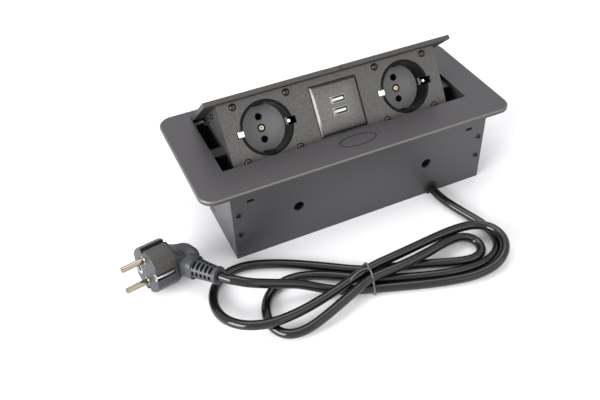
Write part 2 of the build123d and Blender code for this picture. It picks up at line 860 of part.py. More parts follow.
def make_socket_base(x):
    base = rounded_block(base_length, base_width, base_corner, 0, 0, -base_back, -cup_back)
    groove = clip_thickness + 2 * clip_gap
    half = clip_width / 2 + clip_gap
    base -= block(-base_length, base_length, -half, half, -cup_back - groove, -cup_back + overrun)
    for end in (-1, 1):
        depth = contact_length + clip_gap
        base -= rod_z(contact_radius, -cup_back - depth, -cup_back + overrun, 0, end * pin_v)
    reach = centre_seat() - centre_shank_length
    base -= rod_z(centre_shank_radius, reach, -cup_back + overrun, 0, 0)
    return on_face(Pos(x, socket_v, 0) * base)


def centre_seat():
    return -cup_floor_w - counterbore_depth


def make_contacts(x):
    made = []
    for end in (-1, 1):
        top = -cup_back - clip_gap
        tube = rod_z(contact_radius, top - contact_length, top, 0, 0)
        tube -= rod_z(contact_bore, top - contact_length - overrun, top + overrun, 0, 0)
        slit = contact_slit / 2
        tube -= block(-slit, slit, 0, contact_radius + overrun, top - contact_length / 2, top + overrun)
        made.append(on_face(Pos(x, socket_v + end * pin_v, 0) * Rot(0, 0, quarter - end * quarter) * tube))
    return made


def make_earth_clip(x):
    line = [(0, -clip_w), (clip_reach, -clip_w), (clip_reach, -clip_top)]
    line += [(clip_bump_x, -clip_bump_w), (clip_end_x, -clip_end_w)]
    half = clip_thickness / 2
    upper = []
    lower = []
    for i in range(len(line) - 1):
        upper.append(shifted(line[i], line[i + 1], half))
        lower.append(shifted(line[i], line[i + 1], -half))
    left = [upper[0][0]]
    right = [lower[0][0]]
    for i in range(len(upper) - 1):
        left.append(meet(*upper[i], *upper[i + 1]))
        right.append(meet(*lower[i], *lower[i + 1]))
    left.append(upper[-1][1])
    right.append(lower[-1][1])
    outline = left + right[::-1]
    flat = make_face(Polyline([(px, -clip_width / 2, pw) for px, pw in outline], close=True))
    arm = extrude(flat, amount=clip_width, dir=(0, 1, 0))
    clip = arm + mirror(arm, about=Plane.YZ)
    clip -= rod_z(centre_shank_radius + clip_gap, -clip_w - overrun, -clip_w + overrun, 0, 0)
    return on_face(Pos(x, socket_v, 0) * clip)


def make_centre_screws():
    one = screw(centre_head_radius, centre_head_height, centre_shank_radius, centre_shank_length)
    return [on_face(Pos(x, socket_v, centre_seat()) * one) for x in socket_places]


def port_places():
    return [(port_x, port_high_v), (port_x, port_low_v)]


def make_usb_cover():
    half = usb_cover / 2
    cover = block(usb_x - half, usb_x + half, usb_v - half, usb_v + half, -usb_back, usb_proud)
    cover = chamfer(cover.faces().sort_by(Axis.Z)[-1].edges(), usb_edge)
    for x, v in port_places():
        hw = port_width / 2 + port_gap
        hh = port_height / 2 + port_gap
        cover -= block(x - hw, x + hw, v - hh, v + hh, -usb_back - overrun, usb_proud + overrun)
    return on_face(cover)


def make_usb_housing():
    half = usb_case / 2
    back = -plate_sheet - usb_case_depth
    case = block(usb_x - half, usb_x + half, usb_v - half, usb_v + half, back, -plate_sheet)
    pocket = usb_cover / 2 + usb_gap
    case -= block(usb_x - pocket, usb_x + pocket, usb_v - pocket, usb_v + pocket, -usb_back, overrun)
    hollow = pocket - usb_ledge
    floor = back + usb_case_floor
    case -= block(usb_x - hollow, usb_x + hollow, usb_v - hollow, usb_v + hollow, floor, overrun)
    for sx in (-1, 1):
        for sv in (-1, 1):
            top = -board_w - board_thickness
            case += rod_z(post_radius, back + usb_case_floor / 2, top, usb_x + sx * post_x, usb_v + sv * post_v)
    return on_face(case)


def make_usb_shells():
    made = []
    for x, v in port_places():
        front = usb_proud - port_recess
        hw = port_width / 2
        hh = port_height / 2
        shell = block(x - hw, x + hw, v - hh, v + hh, -board_w, front)
        hw -= port_wall
        hh -= port_wall
        shell -= block(x - hw, x + hw, v - hh, v + hh, -board_w + port_wall, front + overrun)
        made.append(on_face(shell))
    return made


def make_usb_tongues():
    made = []
    for x, v in port_places():
        hw = tongue_width / 2
        hh = tongue_height / 2
        front = usb_proud - tongue_recess
        low = v - hh
        made.append(on_face(block(x - hw, x + hw, low, low + tongue_height, -board_w + port_wall, front)))
    return made


def make_usb_board():
    hl = board_length / 2
    hw = board_width / 2
    board = block(usb_x - hl, usb_x + hl, usb_v - hw, usb_v + hw, -board_w - board_thickness, -board_w)
    return on_face(board)


def make_wire(v):
    back = -base_back
    deep = back - wire_bow
    left = socket_left_x + wire_end_x
    right = socket_right_x - wire_end_x
    path = FilletPolyline((left, v, back), (left, v, deep), (right, v, deep), (right, v, back), radius=[wire_arc] * 2)
    section = Plane(origin=path @ 0, z_dir=path % 0) * Circle(wire_radius)
    return on_face(sweep(section, path=path))


def make_catch_keeper():
    half = keeper_length / 2
    y = catch_y - hinge_y
    low = floor_level - keeper_thickness
    keeper = block(-half, half, y - keeper_width / 2, y + keeper_width / 2, low, floor_level)
    return on_lid(keeper)


def catch_top():
    return hinge_z + floor_level - keeper_thickness - catch_gap


def make_catch_case():
    top = catch_top()
    half = catch_width / 2
    case = block(-catch_half, catch_half, catch_y - half, catch_y + half, sheet, top)
    ear = catch_half + catch_ear
    case += block(-ear, ear, catch_y - half, catch_y + half, sheet, sheet + catch_ear_height)
    for x in (-magnet_x, magnet_x):
        ml = magnet_length / 2
        mw = magnet_width / 2
        case -= block(x - ml, x + ml, catch_y - mw, catch_y + mw, top - magnet_depth, top + overrun)
    for side in (-1, 1):
        x = side * (catch_half + catch_ear / 2)
        case -= rod_z(catch_shank_radius + fit_clearance, 0, top + overrun, x, catch_y)
    return case


def make_catch_magnets():
    top = catch_top()
    ml = magnet_length / 2
    mw = magnet_width / 2
    made = []
    for x in (-magnet_x, magnet_x):
        made.append(block(x - ml, x + ml, catch_y - mw, catch_y + mw, top - magnet_depth, top))
    return made


def make_catch_screws():
    seat = sheet + catch_ear_height
    one = screw(catch_head_radius, catch_head_height, catch_shank_radius, seat - screw_end_gap)
    x = catch_half + catch_ear / 2
    return [Pos(side * x, catch_y, seat) * one for side in (-1, 1)]


def make_cable_grommet():
    outer = rod_y(grommet_flange, -wall_y - grommet_lip, -wall_y, entry_x, entry_z)
    neck = rod_y(grommet_neck, -wall_y, -inner_y, entry_x, entry_z)
    inner = rod_y(grommet_flange, -inner_y, -inner_y + grommet_lip, entry_x, entry_z)
    reach = grommet_flange + overrun
    under = block(entry_x - reach, entry_x + reach, -wall_y - grommet_lip - overrun, 0, -reach, 0)
    inside = block(entry_x - reach, entry_x + reach, -inner_y, 0, -reach, sheet)
    ring = outer + neck + inner - under - inside
    bore = cord_radius + bore_clearance
    return ring - rod_y(bore, -wall_y - grommet_lip - overrun, 0, entry_x, entry_z)


def make_cord_clamp():
    half = clamp_width / 2
    foot = block(entry_x - clamp_half, entry_x + clamp_half, clamp_y - half, clamp_y + half, sheet, sheet + clamp_foot)
    arch = rod_y(cord_radius + clamp_wall, clamp_y - half, clamp_y + half, entry_x, entry_z)
    reach = clamp_half + overrun
    under = block(entry_x - reach, entry_x + reach, clamp_y - clamp_width, clamp_y + clamp_width, -reach, sheet)
    clamp = foot + arch - under
    clamp -= rod_y(cord_radius + bore_clearance, clamp_y - clamp_width, clamp_y + clamp_width, entry_x, entry_z)
    for side in (-1, 1):
        hole = clamp_shank_radius + fit_clearance
        clamp -= rod_z(hole, 0, sheet + clamp_foot + overrun, entry_x + side * clamp_screw_x, clamp_y)
    return clamp


def make_clamp_screws():
    seat = sheet + clamp_foot
    one = screw(clamp_head_radius, clamp_head_height, clamp_shank_radius, seat - screw_end_gap)
    return [Pos(entry_x + side * clamp_screw_x, clamp_y, seat) * one for side in (-1, 1)]


def make_inner_lead():
    hole, out = lead_hole()
    step = 2 * cord_diameter
    inside = open_point(hole[0] - out[0] * lead_inside, hole[1] - out[1] * lead_inside)
    outside = open_point(hole[0] + out[0] * step, hole[1] + out[1] * step)
    floor_z = entry_z + fit_clearance
    run = catch_y - clamp_y
    points = [(entry_x, -wall_y - grommet_lip, entry_z)]
    points.append((entry_x, clamp_y + run * lead_near_share, entry_z))
    points.append((entry_x - cord_diameter, clamp_y + run * lead_far_share, floor_z))
    points.append((entry_x - 2 * cord_diameter, catch_y, floor_z))
    points.append((lead_hole_x + cord_diameter, outside[0] - cord_diameter, floor_z + cord_radius))
    points.append((lead_hole_x, outside[0], outside[1]))
    points.append((lead_hole_x, inside[0], inside[1]))
    return tube(points, cord_radius)[0]


def make_earth_stud():
    base = rod_z(stud_radius, sheet, sheet + stud_height, stud_x, stud_y)
    nut_low = sheet + eyelet_thickness
    nut = extrude(Pos(stud_x, stud_y, nut_low) * RegularPolygon(nut_radius, 6), amount=nut_height)
    return base + nut


def make_earth_wire():
    eyelet = rod_z(eyelet_radius, sheet, sheet + eyelet_thickness, stud_x, stud_y)
    eyelet -= rod_z(stud_radius, 0, sheet + stud_height, stud_x, stud_y)
    z = sheet + earth_wire_radius
    end_x = entry_x + clamp_half
    end_y = clamp_y + clamp_width * 1.5
    tongue_x = stud_x - eyelet_radius - earth_wire_radius
    half = earth_wire_radius
    eyelet += block(tongue_x, stud_x - nut_radius, stud_y - half, stud_y + half, sheet, sheet + eyelet_thickness)
    start_x = stud_x - eyelet_radius - screw_end_gap
    middle = (start_x + end_x) / 2
    path = FilletPolyline(
        (start_x, stud_y, z), (middle, stud_y, z), (end_x, end_y, z), (entry_x + cord_radius, end_y, z),
        radius=[cord_radius / 2] * 2,
    )
    section = Plane(origin=path @ 0, z_dir=path % 0) * Circle(earth_wire_radius)
    return eyelet + sweep(section, path=path)


def lobe_points(lobe, first):
    side, reach, spread, pinch, bow, lane_in, lane_out, z_in, z_out, start, end = lobe
    along_x = math.cos(math.radians(waist_turn))
    along_y = math.sin(math.radians(waist_turn))
    made = []
    for i in range(first, lobe_steps + 1):
        turn = half_turn * i / lobe_steps
        a = math.radians(turn)
        s = side * reach * math.sin(a)
        lane_now = lane_in if turn <= quarter else lane_out
        t = spread * (math.sin(2 * a) - pinch * math.sin(4 * a))
        t += bow * math.sin(a) ** 2 + lane_now * math.cos(a) ** 2
        share = min(1, max(0, (turn - start) / (end - start)))
        x = waist_x + s * along_x - t * along_y
        y = waist_y + s * along_y + t * along_x
        made.append((x, y, z_in + (z_out - z_in) * share))
    return made


def before_wall(points):
    return [(x, y - wall_y, z) for x, y, z in points]


def cord_route():
    points = [(entry_x, -wall_y - grommet_lip, entry_z)] + before_wall(lead_points)
    for i, lobe in enumerate(lobes):
        points += lobe_points(lobe, 1 if i else 0)
    end = plug_plane.from_local_coords(Vector(relief_end_x, 0, relief_end_z))
    start = plug_plane.from_local_coords(Vector(relief_start_x, 0, relief_start_z))
    before = end + (end - start).normalized() * relief_run
    return points + before_wall(tail_points) + [tuple(before), tuple(end)]


def middle_point(p, q):
    return tuple((a + b) / 2 for a, b in zip(p, q))


def corner_radii(points):
    radii = []
    for a, b, c in zip(points, points[1:], points[2:]):
        one = Vector(*a) - Vector(*b)
        two = Vector(*c) - Vector(*b)
        turn = math.radians(half_turn - one.get_angle(two))
        run = min(one.length, two.length)
        radii.append(corner_share * run / math.tan(turn / 2))
    return radii


def tube(points, radius):
    radii = corner_radii(points)
    path = FilletPolyline(*points, radius=radii)
    section = Plane(origin=path @ 0, z_dir=path % 0) * Circle(radius)
    return sweep(section, path=path), path.length, radii


def cord_split():
    points = cord_route()
    first = len(lead_points) + 1
    into = middle_point(points[first - 1], points[first])
    last = len(points) - len(tail_points) - 2
    out = middle_point(points[last - 1], points[last])
    lead = points[:first] + [into]
    hank = [into] + points[first:last] + [out]
    tail = [out] + points[last:]
    return lead, hank, tail


def make_cord(which):
    points = cord_split()[which]
    solid, length, radii = tube(points, cord_radius)
    ratio = solid.volume / (math.pi * cord_radius ** 2 * length)
    print("cord", which, "length", round(length, 1), "least radius", round(min(radii), 1), "volume share", round(ratio, 4))
    return solid


def route_samples():
    points = cord_route()
    path = FilletPolyline(*points, radius=corner_radii(points))
    count = int(path.length / (cord_diameter / 4))
    return [path @ (i / count) for i in range(count + 1)], path.length / count


def print_self_gap():
    samples, step = route_samples()
    skip = int(3.2 * cord_diameter / step)
    least = cord_diameter * 100
    for i, p in enumerate(samples):
        for q in samples[i + skip:]:
            least = min(least, (p - q).length)
    print("cord least gap to itself", round(least - cord_diameter, 2))


def make_twist_tie():
    turn = Rot(0, 0, waist_turn)
    low_half = lane + tie_side_gap
    high_half = half_lane + tie_side_gap
    top = level_high + tie_top_gap
    corners = [(-low_half, level_low), (low_half, level_low), (high_half, top), (-high_half, top)]
    strands = make_face(Polyline(corners, close=True))
    inside = cord_radius + tie_gap
    band = extrude(offset(strands, amount=inside + tie_thickness) - offset(strands, amount=inside), amount=tie_width)
    body = Plane(origin=(-tie_width / 2, 0, 0), x_dir=(0, 1, 0), z_dir=(1, 0, 0)).location * band
    tails = twisted_tails(top + inside + tie_thickness)
    return Pos(waist_x, waist_y, 0) * turn * (body + tails)


def twisted_tails(seat):
    wires = []
    for phase in (0, half_turn):
        points = []
        steps = int(tie_tail_turns_share * 4)
        for i in range(steps + 1):
            a = math.radians(phase + quarter * i)
            rise = tie_tail_length * i / steps
            points.append((rise, tie_tail_swing * math.cos(a), seat + tie_tail_radius * 2 + tie_tail_swing * math.sin(a)))
        path = FilletPolyline(*points, radius=corner_radii(points))
        section = Plane(origin=path @ 0, z_dir=path % 0) * Circle(tie_tail_radius)
        wires.append(sweep(section, path=path))
    root = block(-tie_width / 2, tie_width / 2, -tie_width / 2, tie_width / 2, seat - tie_thickness / 2, seat + tie_tail_radius * 3)
    return root + wires[0] + wires[1]


def relief_axis():
    dx = relief_end_x - relief_start_x
    dz = relief_end_z - relief_start_z
    length = math.hypot(dx, dz)
    return dx / length, dz / length, length


def make_plug_body():
    barrel = rod_z(plug_radius, -plug_barrel, 0, 0, 0)
    reach = plug_radius + overrun
    keep = block(-plug_half, plug_half, -reach, reach, -plug_barrel, 0)
    body = barrel & keep
    half = plug_groove_width / 2
    inner = plug_radius - plug_groove_depth
    for end in (-1, 1):
        body -= block(-half, half, end * inner, end * reach, -plug_barrel, overrun)
    ux, uz, length = relief_axis()
    near = (relief_start_x + uz * relief_start_radius, relief_start_z - ux * relief_start_radius)
    far = (relief_start_x - uz * relief_start_radius, relief_start_z + ux * relief_start_radius)
    grip = [(grip_left, -plug_barrel), (plug_half, -plug_barrel), (plug_half, far[1])]
    grip += [(plug_half, -grip_back), (grip_left / 2, -grip_back), (grip_left, -plug_barrel - plug_pin_root)]
    neck = [(0, -plug_barrel), (plug_half, -plug_barrel), far, near, (plug_half / 2, -neck_back), (0, -grip_back)]
    wide = slab_y(grip, -grip_width, grip_width)
    wide = fillet(wide.edges().filter_by(Axis.Y).sort_by(Axis.Z)[:2], grip_round)
    thin = slab_y(neck, -neck_width, neck_width)
    body = body + wide + thin
    for i in range(fin_count):
        x = plug_half + (i - fin_count) * fin_pitch
        fin = block(x, x + fin_thickness, 0, grip_width + fin_rise, -grip_back, -grip_back + fin_length)
        body += fin
    for end in (-1, 1):
        body -= rod_z(plug_pin_radius, -plug_pin_root, overrun, 0, end * pin_v)
    body -= rod_z(plug_socket_radius, -plug_socket_depth, overrun, plug_socket_x, 0)
    strip = plug_strip_width / 2
    for side in (-1, 1):
        deep = side * (plug_half - plug_strip_thickness / 2)
        out = side * (plug_half + overrun)
        body -= block(deep, out, -strip, strip, -plug_strip_end, -plug_strip_start)
    return on_plug(body)


def make_plug_pins():
    made = []
    for end in (-1, 1):
        pin = rod_z(plug_pin_radius, -plug_pin_root, plug_pin_length, 0, 0)
        pin = fillet(pin.edges().sort_by(Axis.Z)[-1], plug_pin_tip)
        made.append(on_plug(Pos(0, end * pin_v, 0) * pin))
    return made


def make_plug_earth_clips():
    made = []
    strip = plug_strip_width / 2
    for side in (-1, 1):
        deep = side * (plug_half - plug_strip_thickness / 2)
        out = side * (plug_half + plug_strip_thickness / 2)
        made.append(on_plug(block(deep, out, -strip, strip, -plug_strip_end, -plug_strip_start)))
    liner = rod_z(plug_socket_radius, -plug_socket_depth, 0, plug_socket_x, 0)
    liner -= rod_z(plug_socket_bore, -plug_socket_depth + plug_strip_thickness, overrun, plug_socket_x, 0)
    made.append(on_plug(liner))
    return made


def make_strain_relief():
    ux, uz, length = relief_axis()
    start = (relief_start_x, 0, relief_start_z)
    place = Plane(origin=start, x_dir=(0, 1, 0), z_dir=(ux, 0, uz)).location
    sleeve = Pos(0, 0, length / 2) * Cone(relief_start_radius, relief_end_radius, length)
    sleeve += rod_z(relief_collar_radius, length - relief_collar_length, length, 0, 0)
    pitch = (length - relief_collar_length) / relief_slots
    for i in range(relief_slots):
        low = pitch * (i + 0.5) - relief_slot_width / 2
        spread = relief_start_radius + (relief_end_radius - relief_start_radius) * low / length
        core = spread - relief_slot_depth
        ring = rod_z(relief_start_radius + overrun, low, low + relief_slot_width, 0, 0)
        sleeve -= ring - rod_z(core, low - overrun, low + relief_slot_width + overrun, 0, 0)
    return on_plug(place * sleeve)


def joined(shapes):
    return Compound(children=list(shapes))


def write(name, shape):
    export_step(shape, "parts/" + name + ".step")


def main():
    os.makedirs("parts", exist_ok=True)
    write("housing_tray", make_housing_tray())
    write("end_wall_left", make_end_wall(-1))
    write("end_wall_right", make_end_wall(1))
    write("wall_screws", joined(make_wall_screws()))
    write("flange_plate", make_flange_plate())
    write("flange_screws", joined(make_flange_screws()))
    write("hinge_bracket_left", make_hinge_bracket(-1))
    write("hinge_bracket_right", make_hinge_bracket(1))
    write("bracket_screws", joined(make_bracket_screws()))
    write("hinge_pins", joined(make_hinge_pins()))
    write("hinge_rings", joined(make_hinge_rings()))
    spring = make_spring()
    write("spring_right", spring)
    write("spring_left", mirror(spring, about=Plane.YZ))
    write("catch_case", make_catch_case())
    write("catch_magnets", joined(make_catch_magnets()))
    write("catch_screws", joined(make_catch_screws()))
    write("cable_grommet", make_cable_grommet())
    write("cord_clamp", make_cord_clamp())
    write("clamp_screws", joined(make_clamp_screws()))
    write("inner_lead", make_inner_lead())
    write("earth_stud", make_earth_stud())
    write("earth_wire", make_earth_wire())
    write("lid_plate", make_lid_plate())
    write("face_plate", make_face_plate())
    write("module_end_left", make_module_end(-1))
    write("module_end_right", make_module_end(1))
    write("module_back", make_module_back())
    write("face_screws", joined(make_face_screws()))
    write("module_screws", joined(make_module_screws()))
    write("socket_cup_left", make_socket_cup(socket_left_x))
    write("socket_cup_right", make_socket_cup(socket_right_x))
    write("socket_base_left", make_socket_base(socket_left_x))
    write("socket_base_right", make_socket_base(socket_right_x))
    write("contacts_left", joined(make_contacts(socket_left_x)))
    write("contacts_right", joined(make_contacts(socket_right_x)))
    write("earth_clip_left", make_earth_clip(socket_left_x))
    write("earth_clip_right", make_earth_clip(socket_right_x))
    write("centre_screws", joined(make_centre_screws()))
    write("usb_cover", make_usb_cover())
    write("usb_shells", joined(make_usb_shells()))
    write("usb_tongues", joined(make_usb_tongues()))
    write("usb_board", make_usb_board())
    write("usb_housing", make_usb_housing())
    write("wire_live", make_wire(wire_live_v))
    write("wire_neutral", make_wire(wire_neutral_v))
    write("wire_earth", make_wire(wire_earth_v))
    write("catch_keeper", make_catch_keeper())
    write("cord_lead", make_cord(0))
    write("cord_hank", make_cord(1))
    write("cord_tail", make_cord(2))
    write("twist_tie", make_twist_tie())
    write("plug_body", make_plug_body())
    write("plug_pins", joined(make_plug_pins()))
    write("plug_earth_clips", joined(make_plug_earth_clips()))
    write("strain_relief", make_strain_relief())
    print_self_gap()


main()
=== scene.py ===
import bpy
import bmesh
import math
from mathutils import Matrix, Vector


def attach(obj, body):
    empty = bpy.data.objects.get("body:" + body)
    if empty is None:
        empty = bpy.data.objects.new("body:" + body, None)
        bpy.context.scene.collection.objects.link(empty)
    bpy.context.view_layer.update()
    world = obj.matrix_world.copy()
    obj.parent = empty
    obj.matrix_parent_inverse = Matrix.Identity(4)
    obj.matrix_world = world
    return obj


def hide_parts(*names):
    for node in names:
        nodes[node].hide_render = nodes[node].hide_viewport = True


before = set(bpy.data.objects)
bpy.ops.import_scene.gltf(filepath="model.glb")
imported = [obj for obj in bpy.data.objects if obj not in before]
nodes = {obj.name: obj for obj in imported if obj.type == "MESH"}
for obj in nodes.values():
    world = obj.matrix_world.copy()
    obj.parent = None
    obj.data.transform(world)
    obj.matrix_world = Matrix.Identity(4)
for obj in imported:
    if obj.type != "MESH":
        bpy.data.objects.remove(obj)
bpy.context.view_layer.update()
print("frame loaded,", len(nodes), "pieces")


def hexColour(code):
    # from the sRGB curve to linear light
    parts = [int(code[i:i + 2], 16) / 255 for i in (1, 3, 5)]
    return (*[p / 12.92 if p <= 0.04045 else ((p + 0.055) / 1.055) ** 2.4 for p in parts], 1.0)


def addNode(tree, kind, settings=None, links=None):
    node = tree.nodes.new(kind)
    for key, value in (settings or {}).items():
        if isinstance(key, str) and hasattr(node, key):
            setattr(node, key, value)
        else:
            node.inputs[key].default_value = value
    for key, source in (links or {}).items():
        tree.links.new(source, node.inputs[key])
    return node


def addMath(tree, operation, *values):
    # each value is a number or what another node gives
    node = tree.nodes.new("ShaderNodeMath")
    node.operation = operation
    for socket, value in zip(node.inputs, values):
        if isinstance(value, bpy.types.NodeSocket):
            tree.links.new(value, socket)
        else:
            socket.default_value = value
    return node.outputs[0]


def startMaterial(name, finish):
    material = bpy.data.materials.new(name)
    material.use_nodes = True
    tree = material.node_tree
    shader = tree.nodes["Principled BSDF"]
    shader.inputs["Base Color"].default_value = hexColour(finish["colour"])
    for socket in ("Metallic", "Roughness", "Specular IOR Level"):
        if socket in finish:
            shader.inputs[socket].default_value = finish[socket]
    return material, tree, shader


def mm(value):
    return value / 1000


def register(piece, setup):
    bpy.context.scene.collection.objects.link(piece)
    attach(piece, setup["body"])
    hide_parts(*setup["replaces"])


xAxis, yAxis, zAxis = (1, 0, 0), (0, 1, 0), (0, 0, 1)


# The camera stands where the photograph was taken. Its place is in millimetres.
cameraSetup = {
    "place": (-222.02, -446.73, 424.66),
    "right": (0.90702, -0.41983, -0.03248),
    "up": (0.30501, 0.60186, 0.73806),
    "back": (-0.29031, -0.67934, 0.67396),
    "lens": 43.377, "sensor": 36.0,
    "shiftX": -0.00715, "shiftY": 0.00573, "clip": (0.01, 20),
}


def makeCamera(setup):
    data = bpy.data.cameras.new("camera")
    data.lens = setup["lens"]
    data.sensor_width = setup["sensor"]
    data.sensor_fit = "HORIZONTAL"
    data.shift_x, data.shift_y = setup["shiftX"], setup["shiftY"]
    data.clip_start, data.clip_end = setup["clip"]
    camera = bpy.data.objects.new("camera", data)
    turn = Matrix((setup["right"], setup["up"], setup["back"])).transposed().to_4x4()
    camera.matrix_world = Matrix.Translation(mm(Vector(setup["place"]))) @ turn
    bpy.context.scene.collection.objects.link(camera)
    bpy.context.scene.camera = camera


makeCamera(cameraSetup)
print("camera set")

# Mains cord: free lead, hank of four lobes tied at the waist, end at the plug. Millimetres.
cord = {
    "body": "housing", "replaces": ["cord_lead", "cord_hank", "cord_tail"], "slot": "cord_pvc",
    "diameter": 7.4, "roundSteps": 6, "splineSteps": 8,
    "lead": [
        (66.0, -56.1, 5.2), (66.0, -66.0, 5.2), (69.0, -79.0, 4.6), (74.5, -94.5, 4.2),
        (80.0, -110.0, 4.2), (82.1, -123.0, 4.2), (79.0, -136.0, 4.2), (69.4, -145.5, 4.2),
        (54.0, -150.0, 4.2), (30.8, -147.6, 4.2), (5.1, -139.8, 4.2), (-13.8, -132.5, 4.2),
    ],
    "tail": [
        (-56.5, -125.3, 4.2), (-70.4, -117.8, 6.6), (-84.6, -111.5, 12.2), (-98.0, -108.2, 16.0),
        (-111.0, -106.0, 20.5), (-122.5, -103.3, 24.3), (-131.0, -98.6, 26.6), (-135.5, -95.6, 27.35),
        (-139.8, -89.0, 26.1),
    ],
    "waist": (-33.0, -124.5), "waistTurn": -9.0, "steps": 12,
    # side, reach, spread, pinch, bow, lane in and out, level in and out, degrees where the level changes
    "lobes": [
        (-1, 84.24, 25.47, 0.02, -12.02, 0.0, -4.6, 4.2, 12.2, 128, 158),
        (1, 97.83, 11.41, 0.3, 8.16, -4.6, 9.3, 12.2, 4.2, 43, 79),
        (-1, 120.08, 33.27, 0.05, 10.95, 9.3, 4.6, 4.2, 12.2, 86, 118),
        (1, 114.71, 19.2, 0.16, 5.04, 4.6, -9.3, 12.2, 4.2, 100, 140),
    ],
    "length": 1.291,
}


def lobePoints(setup, lobe, first):
    # first is 1 where the lobe starts at a point that the one before it has already
    side, reach, spread, pinch, bow, laneIn, laneOut, zIn, zOut, start, end = lobe
    turn = math.radians(setup["waistTurn"])
    points = []
    for i in range(first, setup["steps"] + 1):
        degrees = 180 * i / setup["steps"]
        a = math.radians(degrees)
        along = side * reach * math.sin(a)
        lane = laneIn if degrees <= 90 else laneOut
        across = spread * (math.sin(2 * a) - pinch * math.sin(4 * a))
        across += bow * math.sin(a) ** 2 + lane * math.cos(a) ** 2
        share = min(1, max(0, (degrees - start) / (end - start)))
        x = setup["waist"][0] + along * math.cos(turn) - across * math.sin(turn)
        y = setup["waist"][1] + along * math.sin(turn) + across * math.cos(turn)
        points.append((x, y, zIn + (zOut - zIn) * share))
    return points


def cordRoute(setup):
    points = list(setup["lead"])
    for i, lobe in enumerate(setup["lobes"]):
        points += lobePoints(setup, lobe, 1 if i else 0)
    return points + setup["tail"]


def makeCurve(name, strands, radius, setup):
    # one round tube per strand, places and radius in millimetres
    curve = bpy.data.curves.new(name, "CURVE")
    curve.dimensions = "3D"
    curve.bevel_depth = 1.0  # each point's radius gives the real one
    curve.bevel_resolution = setup["roundSteps"]
    curve.resolution_u = setup["splineSteps"]
    curve.use_fill_caps = True
    for strand in strands:
        line = curve.splines.new("NURBS")
        line.points.add(len(strand) - 1)
        for point, place in zip(line.points, strand):
            point.co = (*[mm(v) for v in place], 1)
            point.radius = mm(radius)
        line.order_u = 3
        line.use_endpoint_u = True
    piece = bpy.data.objects.new(name, curve)
    register(piece, setup)
    return piece


mainsCord = makeCurve("mainsCord", [cordRoute(cord)], cord["diameter"] / 2, cord)
print("cord laid")

